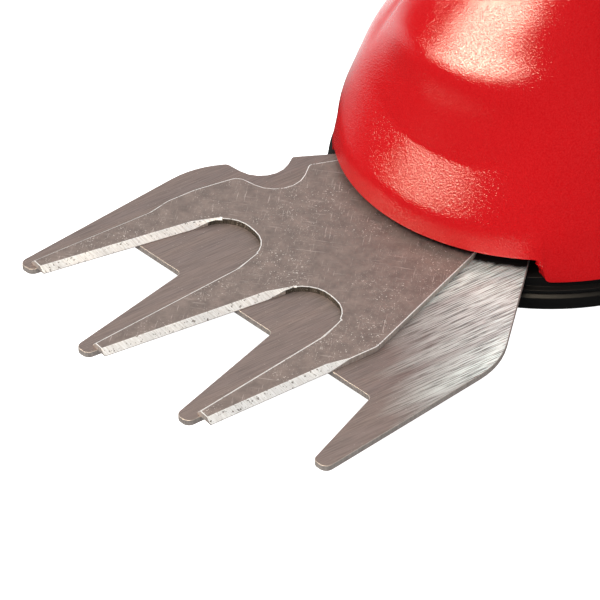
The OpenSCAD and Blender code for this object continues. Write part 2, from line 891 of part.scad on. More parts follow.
module upper_blade() {
    front = blade_corners(upper_front_shares);
    rear = blade_corners(upper_rear_shares);
    tail = [[tail_root_x, tail_hw, tail_fillet], [tail_end_x, tail_hw, tail_fillet]];
    notch = blade_corners(upper_notch_shares);
    color(steel) from_pivot()
        rotate([0, 0, -swing_half])
            difference() {
                linear_extrude(blade_t)
                    difference() {
                        polygon(rounded(concat(front, rear, tail, flip(tail), notch, flip(front))));
                        circle(r = bush_r + run_gap);
                        tail_slot();
                    }
                upper_bevels(front);
                mirror([0, 1, 0]) upper_bevels(front);
            }
}

// Blade pivot, from the top down
bolt_top_z = blade_t + bush_over + washer_t;

module pivot_bolt() {
    color(bright) from_pivot()
        difference() {
            union() {
                rod(bolt_head_r, bolt_top_z, bolt_top_z + bolt_head_h);
                rod(bolt_r, floor_z + bolt_under, bolt_top_z);
            }
            at(0, 0, bolt_top_z + bolt_head_h / 2)
                cylinder(r = bolt_socket_r, h = bolt_head_h, $fn = hex_sides);
        }
}

module pivot_bush() {
    color(brass) from_pivot()
        difference() {
            rod(bush_r, -blade_t, blade_t + bush_over);
            rod(bolt_r + run_gap, -blade_t - cut, blade_t + cut);
        }
}

module pivot_washer() {
    color(bright) from_pivot()
        difference() {
            rod(washer_r, blade_t + bush_over, bolt_top_z);
            rod(bolt_r + run_gap, blade_t, bolt_top_z + cut);
        }
}

module pivot_nut() {
    color(bright) from_pivot()
        difference() {
            at(0, 0, floor_z + nut_up) cylinder(r = nut_r, h = nut_h, $fn = hex_sides);
            rod(bolt_r, floor_z, floor_z + nut_up + nut_h + cut);
        }
}

// Pan-head screw, head up, its head's seat at the origin
module screw(r, head_r, head_h, l) {
    difference() {
        union() {
            rod(head_r, 0, head_h);
            rod(r, -l, 0);
        }
        at(0, 0, head_h - drive_d) cylinder(r = drive_r, h = head_h, $fn = hex_sides);
    }
}

module blade_screws() {
    color(bright) from_pivot()
        for (side = [-1, 1])
            at(blade_screw_x, side * blade_screw_y, 0)
                screw(screw_r, screw_head_r, screw_head_h, blade_screw_l);
}

// Gear plate on four posts
function plate_corners() =
    [for (s = plate_corner_shares) [s[0] * hood_r, s[1] * hood_r, plate_fillet]];

module gear_plate() {
    color(black) from_pivot()
        difference() {
            union() {
                at(crank_x, 0, plate_z)
                    linear_extrude(plate_t) polygon(rounded(plate_corners()));
                for (p = post_places)
                    at(p[0], p[1], 0) rod(post_r, base_top_z, plate_z);
            }
            at(crank_x, 0, 0) rod(axle_r, 0, reach);
            at(idler_x, idler_y, 0) rod(idler_pin_r, 0, reach);
            at(motor_x, 0, 0) {
                rod(plate_hole_r, plate_z - cut, motor_z + cut);
                for (side = [-1, 1])
                    at(side * motor_screw_d, 0, 0) rod(motor_screw_r, plate_z - cut, motor_z + cut);
            }
            for (p = post_places)
                at(p[0], p[1], 0) rod(screw_r, base_top_z - cut, base_top_z + base_screw_l);
        }
}

module base_screws() {
    color(bright) from_pivot()
        for (p = post_places)
            at(p[0], p[1], floor_z + base_head_up)
                mirror([0, 0, 1]) screw(screw_r, screw_head_r, base_head_up, base_screw_l);
}

module gear(teeth, phase, z, t) translate([0, 0, z]) linear_extrude(t) polygon(gear_points(teeth, phase));

module crank_gear() {
    color(cream) from_pivot()
        at(crank_x, 0, 0)
            difference() {
                union() {
                    gear(crank_teeth, crank_phase, gear_z, gear_t);
                    rod(hub_r, gear_z, hub_top_z);
                    at(0, crank_e, 0) rod(crank_pin_r, -pin_under, gear_z);
                }
                rod(crank_bush_r, gear_z + crank_web, reach);
            }
}

module crank_bush() {
    color(brass) from_pivot()
        at(crank_x, 0, 0)
            difference() {
                rod(crank_bush_r, gear_z + crank_web, hub_top_z);
                rod(axle_r + run_gap, 0, reach);
            }
}

module crank_roller() {
    color(bright) from_pivot()
        at(crank_x, crank_e, 0)
            difference() {
                rod(roller_r, -roller_under, blade_t + roller_over);
                rod(crank_pin_r, -cut, reach);
            }
}

module crank_axle() {
    color(bright) from_pivot()
        at(crank_x, 0, 0) rod(axle_r, gear_z + crank_web + gap, motor_z);
}

module crank_washer() {
    color(bright) from_pivot()
        at(crank_x, 0, 0)
            difference() {
                rod(crank_washer_r, hub_top_z, plate_z);
                rod(axle_r + run_gap, 0, reach);
            }
}

module idler_gear() {
    color(cream) from_pivot()
        at(idler_x, idler_y, 0)
            difference() {
                union() {
                    gear(pinion_teeth, idler_phase, gear_z, idler_big_z - gear_z + cut);
                    gear(idler_teeth, idler_phase, idler_big_z, idler_big_t);
                }
                rod(idler_pin_r + run_gap, 0, reach);
            }
}

module idler_pin() {
    color(bright) from_pivot()
        at(idler_x, idler_y, 0) rod(idler_pin_r, base_top_z, motor_z);
}

// Motor
can_top_z = motor_z + motor_l;

module motor_can() {
    color(bright) from_pivot()
        at(motor_x, 0, 0)
            difference() {
                rod(motor_r, motor_z, can_top_z);
                rod(motor_r - can_wall, motor_z + can_face, can_top_z + cut);
                rod(shaft_r + run_gap, 0, reach);
                for (side = [-1, 1])
                    at(side * motor_screw_d, 0, 0)
                        rod(motor_screw_r, motor_z - cut, motor_z + can_face + cut);
            }
}

module motor_magnets() {
    inner = motor_r - can_wall - magnet_t;
    color(black) from_pivot()
        at(motor_x, 0, motor_z + rotor_up)
            for (side = [0, 180])
                rotate([0, 0, 90 + side - magnet_half])
                    rotate_extrude(angle = 2 * magnet_half)
                        translate([inner, 0]) square([magnet_t, rotor_l]);
}

module motor_cap() {
    color(black) from_pivot()
        at(motor_x, 0, 0)
            difference() {
                union() {
                    rod(motor_r - cap_in, can_top_z, can_top_z + cap_t);
                    for (side = [-1, 1])
                        box_to([-tab_w / 2, side * motor_r / 2 - tab_t / 2, can_top_z],
                            [tab_w / 2, side * motor_r / 2 + tab_t / 2, can_top_z + cap_t + tab_h]);
                }
                rod(shaft_r + run_gap, 0, reach);
            }
}

module motor_rotor() {
    low = motor_z + rotor_up;
    color(steel) from_pivot()
        at(motor_x, 0, 0) {
            rod(shaft_r, idler_big_z - pinion_up, can_top_z + cap_t + shaft_over);
            rod(rotor_r, low, low + rotor_l);
            rod(collector_r, low + rotor_l, low + rotor_l + collector_l);
        }
}

module motor_pinion() {
    color(brass) from_pivot()
        at(motor_x, 0, 0)
            difference() {
                gear(pinion_teeth, pinion_phase, idler_big_z - pinion_up, idler_big_t + 2 * pinion_up);
                rod(shaft_r, 0, reach);
            }
}

module motor_screws() {
    color(bright) from_pivot()
        for (side = [-1, 1])
            at(motor_x + side * motor_screw_d, 0, plate_z)
                mirror([0, 0, 1])
                    screw(motor_screw_r, motor_screw_head_r, motor_screw_head_h, plate_t + can_face);
}

// Trigger on its pin
module trigger() {
    fillet = trigger_fillet_share * trigger_l;
    corners = [for (s = trigger_corner_shares) [s[0] * trigger_l, s[1] * trigger_l, fillet]];
    color(black) from_pivot()
        at(trigger_pin_x, trigger_w / 2, trigger_pin_z)
            rotate([90, 0, 0])
                linear_extrude(trigger_w)
                    difference() {
                        polygon(rounded(corners));
                        circle(r = trigger_pin_r + run_gap);
                    }
}

module trigger_pin() {
    color(bright) from_pivot()
        across_y(trigger_pin_x, trigger_pin_z, trigger_pin_r, -trigger_pin_l / 2, trigger_pin_l / 2);
}

// Torsion spring beside the trigger's hub
function spring_ring(t) =
    let (a = 360 * t, y = trigger_w / 2 + gap + spring_wire_r + spring_pitch * t)
    [for (k = [0:spring_sides - 1])
        let (b = 360 * k / spring_sides, r = spring_coil_r + spring_wire_r * cos(b))
        [r * cos(a), y + spring_wire_r * sin(b), r * sin(a)]];

module trigger_spring() {
    color(bright) from_pivot()
        at(trigger_pin_x, 0, trigger_pin_z)
            loft([for (i = [0:spring_turns * spring_rings]) spring_ring(i / spring_rings)]);
}

module switch_body() {
    x = trigger_pin_x - switch_back;
    z = trigger_pin_z + switch_lift;
    color(black) from_pivot()
        box_to([x - switch_l, -switch_w / 2, z], [x, switch_w / 2, z + switch_h]);
}

module lock_button() {
    color(black) from_pivot()
        at(lock_x, lock_travel / 2, lock_z)
            rotate([90, 0, 0])
                rotate_extrude()
                    polygon([
                        [0, -lock_l / 2], [lock_r - lock_end, -lock_l / 2],
                        [lock_r, -lock_l / 2 + lock_end], [lock_r, lock_l / 2 - lock_end],
                        [lock_r - lock_end, lock_l / 2], [0, lock_l / 2]
                    ]);
}

// Control board on its ribs
module control_board() {
    x = hood_x - board_back;
    color(green) from_pivot()
        box_to([x - board_l, -board_w / 2, board_z], [x, board_w / 2, board_z + board_t]);
}

module board_parts() {
    x = hood_x - board_back - board_l / 2;
    z = board_z + board_t;
    color(bright) from_pivot() {
        for (side = [-1, 1])
            at(x, side * board_w / 3, z) rod(part_r, 0, part_h);
        at(x, 0, z) {
            box_to([-sink_w / 2, -sink_w / 2, 0], [sink_w / 2, sink_w / 2, sink_t]);
            for (i = [0:sink_fins - 1])
                at(0, (i - (sink_fins - 1) / 2) * sink_pitch, 0)
                    box_to([-sink_w / 2, -sink_t / 2, 0], [sink_w / 2, sink_t / 2, part_h]);
        }
    }
}

// Rail on the back of the column, wider at its head
module rail_profile(grow) {
    stem_hw = rail_hw - stem_in;
    polygon([
        [cut, -stem_hw - grow], [-stem_t + grow, -stem_hw - grow], [-stem_t + grow, -rail_hw - grow],
        [-stem_t - head_t - grow, -rail_hw - grow], [-stem_t - head_t - grow, rail_hw + grow],
        [-stem_t + grow, rail_hw + grow], [-stem_t + grow, stem_hw + grow], [cut, stem_hw + grow]
    ]);
}
rail_x = column_back_x - shoe_t;
rail_top_z = rail_low + rail_l;

module battery_shoe() {
    color(black) from_pivot()
        union() {
            box_to([rail_x, -shoe_w / 2, shoe_low - shoe_t], [column_back_x, shoe_w / 2, shoe_high]);
            translate([rail_x, 0, rail_low]) linear_extrude(rail_l) rail_profile(0);
        }
}

module contact_row(w, t, z0, z1) {
    for (i = [0:blade_count - 1])
        at(rail_x - stem_t, (i - (blade_count - 1) / 2) * blade_pitch, 0)
            box_to([-w, -t / 2, z0], [0, t / 2, z1]);
}

module contact_blades() {
    color(brass) from_pivot() contact_row(head_t, contact_t, rail_top_z, rail_top_z + contact_h);
}

// Battery pack
battery_low_z = floor_z + battery_low;
battery_top_z = battery_low_z + battery_h;
battery_split_x = battery_front_x - battery_split;
cell_zig = cell_r + cell_gap / 2;
cell_step = 2 * cell_zig * cell_step_share;
cell_zag = 2 * cell_zig * sqrt(1 - cell_step_share * cell_step_share);
cell_x = battery_front_x - stem_t - head_t - cell_front - cell_r;

module battery_outline() {
    polygon(rounded([
        [rear_x, -battery_w / 2, battery_fillet], [battery_front_x, -battery_w / 2, rear_edge],
        [battery_front_x, battery_w / 2, rear_edge], [rear_x, battery_w / 2, battery_fillet]
    ]));
}

module battery_side() {
    polygon(rounded([
        [rear_x, battery_low_z, battery_edge], [battery_front_x, battery_low_z, rear_edge],
        [battery_front_x, battery_top_z, rear_edge], [rear_x, battery_top_z, battery_edge]
    ]));
}

module finger_grooves() {
    for (side = [-1, 1])
        for (i = [0:groove_count - 1])
            let (z = battery_low_z + groove_low + i * groove_pitch)
            scale([1, side, 1])
                box_to([rear_x + groove_inset, battery_w / 2 - groove_d, z],
                    [battery_split_x - rear_edge, battery_w, z + groove_w]);
}

module battery_block() {
    difference() {
        intersection() {
            translate([0, 0, battery_low_z]) linear_extrude(battery_h) battery_outline();
            translate([0, battery_w, 0]) rotate([90, 0, 0]) linear_extrude(2 * battery_w) battery_side();
        }
        finger_grooves();
    }
}

module cell_at(i, grow) {
    x = cell_x - (i % 2) * cell_zag;
    z = battery_low_z + battery_wall + cell_up + cell_r + i * cell_step;
    across_y(x, z, cell_r + grow, -cell_l / 2 - grow, cell_l / 2 + grow);
}

module button_pocket() {
    z = battery_top_z - button_drop;
    box_to([rear_x - cut, -button_w / 2 - gap, z - button_h - gap],
        [rear_x + button_t + button_travel + gap, button_w / 2 + gap, z + gap]);
    box_to([rear_x + button_stop, -button_w / 2 - button_lip - gap, z - button_h - gap],
        [rear_x + button_t + button_travel + gap, button_w / 2 + button_lip + gap, z + gap]);
}

module battery_hollows() {
    translate([rail_x, 0, battery_low_z - cut])
        linear_extrude(rail_top_z + rail_gap - battery_low_z + cut) rail_profile(rail_gap);
    contact_row(head_t + contact_gap, contact_t + 2 * contact_gap, rail_top_z - cut,
        rail_top_z + contact_h + contact_gap);
    for (i = [0:cell_count - 1])
        cell_at(i, cell_gap / 4);
    button_pocket();
}

module battery_case() {
    color(black) from_pivot()
        difference() {
            intersection() {
                battery_block();
                box_to([battery_split_x, -reach, -reach], [reach, reach, reach]);
            }
            battery_hollows();
        }
}

module battery_back() {
    color(black) from_pivot()
        difference() {
            intersection() {
                battery_block();
                box_to([-reach, -reach, -reach], [battery_split_x, reach, reach]);
            }
            battery_hollows();
        }
}

module battery_cells() {
    color(blue) from_pivot()
        for (i = [0:cell_count - 1])
            cell_at(i, 0);
}

module battery_button() {
    z = battery_top_z - button_drop;
    color(red) from_pivot()
        union() {
            box_to([rear_x, -button_w / 2, z - button_h], [rear_x + button_t, button_w / 2, z]);
            box_to([rear_x + button_stop + gap, -button_w / 2 - button_lip, z - button_h],
                [rear_x + button_t, button_w / 2 + button_lip, z]);
        }
}

module housing_screws() {
    color(bright) from_pivot()
        for (p = housing_places)
            at(p[0], -head_sink, p[1])
                rotate([90, 0, 0])
                    screw(screw_r, house_head_r, house_head_h, head_sink + house_l - gap);
}

front_hood();
left_shell();
right_shell();
grip_sleeve();
base_plate();
rear_foot();
lower_blade();
upper_blade();
pivot_bolt();
pivot_bush();
pivot_washer();
pivot_nut();
blade_screws();
gear_plate();
base_screws();
crank_gear();
crank_bush();
crank_roller();
crank_axle();
crank_washer();
idler_gear();
idler_pin();
motor_can();
motor_magnets();
motor_cap();
motor_rotor();
motor_pinion();
motor_screws();
trigger();
trigger_pin();
trigger_spring();
switch_body();
lock_button();
control_board();
board_parts();
battery_shoe();
contact_blades();
battery_case();
battery_back();
battery_cells();
battery_button();
housing_screws();
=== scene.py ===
"""Looks of the cordless grass shears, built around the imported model.

Lengths are in metres and angles in degrees.
"""
import json
import math

import bmesh
import bpy
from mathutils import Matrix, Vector


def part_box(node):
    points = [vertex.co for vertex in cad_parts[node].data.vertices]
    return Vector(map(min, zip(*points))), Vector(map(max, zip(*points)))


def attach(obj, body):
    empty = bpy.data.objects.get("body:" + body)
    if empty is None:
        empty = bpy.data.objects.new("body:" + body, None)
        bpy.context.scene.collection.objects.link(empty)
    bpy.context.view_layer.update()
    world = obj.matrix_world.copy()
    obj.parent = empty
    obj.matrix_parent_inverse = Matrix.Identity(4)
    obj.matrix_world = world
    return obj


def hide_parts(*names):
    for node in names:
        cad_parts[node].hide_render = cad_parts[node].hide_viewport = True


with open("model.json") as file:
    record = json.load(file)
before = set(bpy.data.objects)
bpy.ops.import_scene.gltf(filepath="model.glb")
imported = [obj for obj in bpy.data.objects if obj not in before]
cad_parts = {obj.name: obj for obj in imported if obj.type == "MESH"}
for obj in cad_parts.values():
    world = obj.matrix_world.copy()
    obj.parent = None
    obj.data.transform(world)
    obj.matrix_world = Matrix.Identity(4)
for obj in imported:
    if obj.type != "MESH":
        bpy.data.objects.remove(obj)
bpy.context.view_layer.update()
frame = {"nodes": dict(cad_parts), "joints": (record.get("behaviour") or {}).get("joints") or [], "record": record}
nodes = frame["nodes"]
joints = {j["name"]: j for j in frame["joints"]}

MM = 0.001

# Places that the frame gives
PIVOT = Vector(joints["blade_swing"]["pos_m"])
BASE_LOW, BASE_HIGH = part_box("base_plate")
HOOD_X = (BASE_LOW.x + BASE_HIGH.x) / 2
HOOD_LOW, HOOD_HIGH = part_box("front_hood")
PART_X = HOOD_LOW.x

# Camera, as fitted to the blade outlines
CAMERA_PLACE = Vector((0.70787, 0.62309, 0.66621))
CAMERA_AIM = PIVOT + Vector((52.6, 3.7, 0)) * MM
CAMERA_LENS = 280.84
CAMERA_SENSOR = 36

# Light: a pale tent that is brighter on one side, and panels that only show as reflections
TENT_DIM = 0.62
TENT_BRIGHT = 1.36
TENT_WAY = (0.45, -0.75, 0.48)
TENT_FADE = 0.8
TENT_COLOUR = (1, 0.99, 0.98, 1)
TENT_SHEEN = 0.06
PANEL_DISTANCE = 0.9
HOOD_AIM = 0.035
WARM = (1, 0.84, 0.63)
PLAIN = (1, 0.98, 0.96)
NECK_RISE = 0.70
NECK_CLIMB = 0.0018
NECK_CLIMB_START = 8
NECK_ANGLES = range(2, 45, 7)
NECK_PANEL = {"size": (0.22, 0.38), "radiance": 17, "colour": WARM}
BLADE_PANEL = {"way": (-0.55, -0.58, 0.61), "size": (1.0, 1.0), "radiance": 0.75, "colour": PLAIN}
EDGE_PANEL = {"way": (-0.70, 0.49, 0.54), "size": (0.6, 0.6), "radiance": 1.2, "colour": PLAIN}

# Floor: white to the eye; in reflections it fades from bright behind the object to dull in front of it
FLOOR_HALF = 3.0
FLOOR_GREY = (0.8, 0.8, 0.8, 1)
FLOOR_GLOW = 1.05
FADE_WAY = (0.9, 0.43, 0)
FADE_START = -15 * MM
FADE_END = 20 * MM
FLOOR_BRIGHT = 1.3
FLOOR_DULL = 0.05

# Hood: its wall, slot and rows, close to the solid's.
# A row is height and radius at the front, at the side and at the back
HOOD_R = (HOOD_HIGH.y - HOOD_LOW.y) / 2
HOOD_H = 70 * MM
HOOD_WALL = 2.5 * MM
SLOT_TOP = 4 * MM
STEP_PLACE = 39 * MM
STEP_ROUND = 2.6 * MM
STEP_WIDTH = 0.5 * MM
STEP_FOOT = 1.5 * MM
LIP_ROW_SHARES = (0.129, 0.986, 0.166, 0.968, 0.164, 0.955)
FLARE_ROW_SHARES = (0.299, 0.815, 0.415, 0.845, 0.386, 0.880)
NECK_ROW_SHARES = [
    (0.443, 0.755, 0.493, 0.777, 0.543, 0.850),
    (0.571, 0.715, 0.571, 0.708, 0.657, 0.830),
    (0.664, 0.604, 0.686, 0.623, 0.757, 0.810),
    (0.757, 0.488, 0.793, 0.553, 0.843, 0.791),
    (0.850, 0.362, 0.886, 0.474, 0.914, 0.751),
    (0.929, 0.251, 0.957, 0.356, 0.971, 0.652),
    (1, 0.05, 1, 0.17, 1, 0.40),
]
LIP_ROUND = 2.4 * MM
CREASE_ROUND = 0.8 * MM
CHEEK_ROUND = 5 * MM
GROOVE_ROW_SHARES = (0.35, 0.8, 1, 1, 0.8, 0.4, 0)
GROOVE_DEPTH = 0.9 * MM
GROOVE_ANGLE = -47.5
GROOVE_SPREAD = 3.2
FRONT_ANGLE, SIDE_ANGLE, BACK_ANGLE = 12, 62, 95
HOOD_STEPS = 6
HOOD_EDGE = 0.5 * MM
HOOD_EDGE_ANGLE = 50
# Angles round the hood: every 0.75 degrees, and every 0.1 degrees at the slot's step
EVEN_ANGLES = {k / 4 for k in range(-720, 720, 3)}
STEP_ANGLES = {side * k / 10 for side in (-1, 1) for k in range(386, 470)}
HOOD_ANGLES = sorted(EVEN_ANGLES | STEP_ANGLES)

# Blades: broken edges, and which way a face looks that is flat, sloped or at the end of a gullet
BLADE_EDGE = 0.12 * MM
BLADE_EDGE_ANGLE = 25
# thin rim of the upper blade's face in bevel steel: partly a wider broken edge, partly a painted highlight line
BLADE_RIM = 0.14 * MM
FLAT_FACE = 0.97
SLOPED_FACE = 0.3
FORWARD_FACE = 0.25
ON_FACE, ON_EDGE, ON_SLOPE, ON_GULLET = range(4)

# Upper blade: how far its gullets lie from the pivot and how deep their round ends are
GULLET_X = 38 * MM
GULLET_DEPTH = 20 * MM

# Dark line on both blades round the hood's axis, a painted shadow where they run in under its lip; and the painted
# highlight of the lower blade's steel towards the hood, from the pivot
LIP_SHADOW_RADIUS = 47.2 * MM
LIP_SHADOW_FADE = 1.2 * MM
LIP_SHADOW_RAGGED = 1.6 * MM
HIGHLIGHT_WAY = (-0.8, 0.6)
HIGHLIGHT_START = -9 * MM
HIGHLIGHT_END = 19 * MM
HIGHLIGHT_DRIFT = 30 * MM

# Copies of nodes: points and faces that are joined again
MERGE_DISTANCE = 0.002 * MM
FLAT_ANGLE = 0.5

# Smooth skins of the mouldings
SHELL_VOXEL = 0.8 * MM
SLEEVE_VOXEL = 0.5 * MM
SKIN_PASSES = 20
SKIN_ANGLE = 50

# Studs on the soft sleeve, and ribs on the battery's release button
STUD_SPACING = 2.6 * MM
STUD_RADIUS = 0.75 * MM
STUD_REACH = 60 * MM
STUD_FLATNESS = 0.5
STUD_SEED = 3
STUD_DENSITY = 1e6
RIB_COUNT = 7
RIB_RADIUS = 0.6 * MM
RIB_SHARE = 0.6
RIB_PLACE = 0.2 * MM

# Colours of the steel, dark and light
# Lower blade: the steel's own tone, and a lit copy of it that is a painted highlight towards the hood, bluish
# against the hood's red
STEEL_TONE = ((0.168, 0.135, 0.127), (0.250, 0.201, 0.191))
HIGHLIGHT_STEEL = ((0.08, 0.10, 0.11), (0.84, 0.98, 1))
SKIN = ((0.165, 0.132, 0.121), (0.285, 0.232, 0.214))
BEVELLED = ((0.74, 0.72, 0.69), (0.99, 0.99, 0.98))
SCRATCH = (0.60, 0.54, 0.51)
DARK_FLECK = (0.12, 0.09, 0.08)
PALE_FLECK = (0.80, 0.76, 0.72)
GROUND_GRAIN = (0.85, 0.82, 0.79)
CUT_GRAIN = (0.85, 0.83, 0.80)
PIT = (0.13, 0.11, 0.09)
# painted shadow on the blades under the hood's lip
PAINTED_LIP_SHADOW = (0.02, 0.02, 0.02)

# Most of a noise's values lie between these
NOISE_LOW, NOISE_HIGH = 0.3, 0.7


def ease(t):
    u = min(1, max(0, t))
    return u * u * (3 - 2 * u)


def mix(a, b, t):
    return a + (b - a) * t


def new_object(name, mesh):
    obj = bpy.data.objects.new(name, mesh)
    bpy.context.scene.collection.objects.link(obj)
    return obj


def settle(obj):
    """Turns the object's modifiers into plain mesh."""
    graph = bpy.context.evaluated_depsgraph_get()
    mesh = bpy.data.meshes.new_from_object(obj.evaluated_get(graph))
    obj.modifiers.clear()
    obj.data = mesh
    return obj


def soften(obj, angle=35):
    """Smooth shading, with sharp edges above the angle."""
    for face in obj.data.polygons:
        face.use_smooth = True
    obj.data.set_sharp_from_angle(angle=math.radians(angle))
    return obj


def copy_of(node, name):
    """A merged copy of a node's mesh, with its flat faces joined again."""
    mesh = bpy.data.meshes.new(name)
    work = bmesh.new()
    work.from_mesh(nodes[node].data)
    bmesh.ops.remove_doubles(work, verts=work.verts, dist=MERGE_DISTANCE)
    bmesh.ops.dissolve_limit(
        work, angle_limit=math.radians(FLAT_ANGLE), verts=work.verts, edges=work.edges, delimit={"NORMAL"})
    work.to_mesh(mesh)
    work.free()
    return new_object(name, mesh)


def even_shading(obj):
    """Keeps flat faces flat in shading, next to rounded edges."""
    soften(obj)
    weights = obj.modifiers.new("even_shading", "WEIGHTED_NORMAL")
    weights.weight = 100
    weights.keep_sharp = True
    return settle(obj)


def rounded_copy(node, name, width, angle=30):
    """A copy of a node with its edges rounded."""
    obj = copy_of(node, name)
    bevel = obj.modifiers.new("edges", "BEVEL")
    bevel.width = width
    bevel.segments = 2
    bevel.limit_method = "ANGLE"
    bevel.angle_limit = math.radians(angle)
    bevel.use_clamp_overlap = True
    bevel.miter_outer = "MITER_ARC"
    settle(obj)
    return even_shading(obj)


def moulded_copy(node, name, voxel):
    """A copy of a faceted moulding, remade as one smooth skin."""
    obj = copy_of(node, name)
    remesh = obj.modifiers.new("skin", "REMESH")
    remesh.mode = "VOXEL"
    remesh.voxel_size = voxel
    smooth = obj.modifiers.new("smooth", "SMOOTH")
    smooth.factor = 0.5
    smooth.iterations = SKIN_PASSES
    settle(obj)
    return soften(obj, SKIN_ANGLE)


def finish_piece(obj, body, slot, material, *replaced):
    """Gives a piece its material and its body, and hides the nodes that it stands for; the slot is not used."""
    if material is not None:
        obj.data.materials.clear()
        obj.data.materials.append(material)
    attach(obj, body)
    if replaced:
        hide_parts(*replaced)
    return obj


# Shader tools
def shader_group(name, inputs, outputs):
    """A node group with named sockets; returns the tree and its ends."""
    tree = bpy.data.node_groups.new(name, "ShaderNodeTree")
    for label, kind, value in inputs:
        socket = tree.interface.new_socket(label, in_out="INPUT", socket_type=kind)
        socket.default_value = value
    for label, kind in outputs:
        tree.interface.new_socket(label, in_out="OUTPUT", socket_type=kind)
    return tree, tree.nodes.new("NodeGroupInput"), tree.nodes.new("NodeGroupOutput")


def node_of(tree, kind, **settings):
    node = tree.nodes.new(kind)
    for key, value in settings.items():
        setattr(node, key, value)
    return node


def math_node(tree, operation, first, second):
    node = node_of(tree, "ShaderNodeMath", operation=operation)
    for socket, value in zip(node.inputs, (first, second)):
        if isinstance(value, (int, float)):
            socket.default_value = value
        else:
            tree.links.new(value, socket)
    return node.outputs[0]


def part_of(tree, value, share):
    return math_node(tree, "MULTIPLY", value, share)


def noise(tree, coords, scale, detail=2, roughness=0.5):
    node = node_of(tree, "ShaderNodeTexNoise")
    node.inputs["Detail"].default_value = detail
    node.inputs["Roughness"].default_value = roughness
    if isinstance(scale, (int, float)):
        node.inputs["Scale"].default_value = scale
    else:
        tree.links.new(scale, node.inputs["Scale"])
    tree.links.new(coords, node.inputs["Vector"])
    return node.outputs["Fac"]


def ramp(tree, value, low, high, to_low=0, to_high=1):
    node = node_of(tree, "ShaderNodeMapRange", clamp=True)
    for label, setting in (("From Min", low), ("From Max", high), ("To Min", to_low), ("To Max", to_high)):
        if isinstance(setting, (int, float)):
            node.inputs[label].default_value = setting
        else:
            tree.links.new(setting, node.inputs[label])
    tree.links.new(value, node.inputs["Value"])
    return node.outputs["Result"]


def spread(tree, value, to_low=0, to_high=1):
    """Stretches a noise over a range."""
    return ramp(tree, value, NOISE_LOW, NOISE_HIGH, to_low, to_high)


def blend_colour(tree, share, first, second):
    node = node_of(tree, "ShaderNodeMix", data_type="RGBA")
    for label, colour in (("A", first), ("B", second)):
        socket = next(s for s in node.inputs if s.name == label and s.type == "RGBA")
        if isinstance(colour, tuple):
            socket.default_value = (*colour, 1)
        else:
            tree.links.new(colour, socket)
    tree.links.new(share, node.inputs["Factor"])
    return next(s for s in node.outputs if s.type == "RGBA")


def mould_grain_group():
    """Fine spark-eroded grain of a mould: a height, and a slow drift for colour and gloss."""
    tree, start, end = shader_group(
        "mould_grain",
        [("Vector", "NodeSocketVector", (0, 0, 0)), ("Grain Scale", "NodeSocketFloat", 3000),
         ("Drift Scale", "NodeSocketFloat", 60)],
        [("Height", "NodeSocketFloat"), ("Drift", "NodeSocketFloat")])
    coords = start.outputs["Vector"]
    fine = noise(tree, coords, start.outputs["Grain Scale"], detail=1.5, roughness=0.6)
    height = ramp(tree, fine, low=0.28, high=0.72)
    drift = noise(tree, coords, start.outputs["Drift Scale"], detail=3)
    tree.links.new(height, end.inputs["Height"])
    tree.links.new(drift, end.inputs["Drift"])
    return tree


def stroke_group():
    """Parallel strokes of a grinding belt: a height and a mask that breaks them up."""
    tree, start, end = shader_group(
        "grind_strokes",
        [("Vector", "NodeSocketVector", (0, 0, 0)), ("Fine Scale", "NodeSocketFloat", 5000),
         ("Stretch", "NodeSocketFloat", 0.04), ("Turn", "NodeSocketFloat", 0)],
        [("Strokes", "NodeSocketFloat"), ("Patches", "NodeSocketFloat")])
    turn = node_of(tree, "ShaderNodeVectorRotate", rotation_type="Z_AXIS")
    tree.links.new(start.outputs["Vector"], turn.inputs["Vector"])
    tree.links.new(start.outputs["Turn"], turn.inputs["Angle"])
    split = node_of(tree, "ShaderNodeSeparateXYZ")
    tree.links.new(turn.outputs["Vector"], split.inputs["Vector"])
    along = part_of(tree, split.outputs["X"], start.outputs["Stretch"])
    joined = node_of(tree, "ShaderNodeCombineXYZ")
    tree.links.new(along, joined.inputs["X"])
    tree.links.new(split.outputs["Y"], joined.inputs["Y"])
    strokes = noise(tree, joined.outputs["Vector"], start.outputs["Fine Scale"], detail=3, roughness=0.65)
    slow = part_of(tree, start.outputs["Fine Scale"], share=0.06)
    patches = noise(tree, joined.outputs["Vector"], slow)
    tree.links.new(strokes, end.inputs["Strokes"])
    tree.links.new(patches, end.inputs["Patches"])
    return tree


MOULD_GRAIN = mould_grain_group()
GRIND_STROKES = stroke_group()


def place_group(tree, group, coords, **values):
    node = node_of(tree, "ShaderNodeGroup", node_tree=group)
    tree.links.new(coords, node.inputs["Vector"])
    for label, value in values.items():
        node.inputs[label.replace("_", " ")].default_value = value
    return node


def new_material(name, metallic=0.0, roughness=0.5, specular=0.5):
    """A material with a Principled shader; returns it with its tree, shader and object coordinates."""
    material = bpy.data.materials.new(name)
    material.use_nodes = True
    tree = material.node_tree
    shader = tree.nodes["Principled BSDF"]
    shader.inputs["Metallic"].default_value = metallic
    shader.inputs["Roughness"].default_value = roughness
    shader.inputs["Specular IOR Level"].default_value = specular
    coords = node_of(tree, "ShaderNodeTexCoord").outputs["Object"]
    return material, tree, shader, coords


def add_bump(tree, shader, height, distance):
    bump = node_of(tree, "ShaderNodeBump")
    bump.inputs["Strength"].default_value = 1
    bump.inputs["Distance"].default_value = distance
    tree.links.new(height, bump.inputs["Height"])
    tree.links.new(bump.outputs["Normal"], shader.inputs["Normal"])


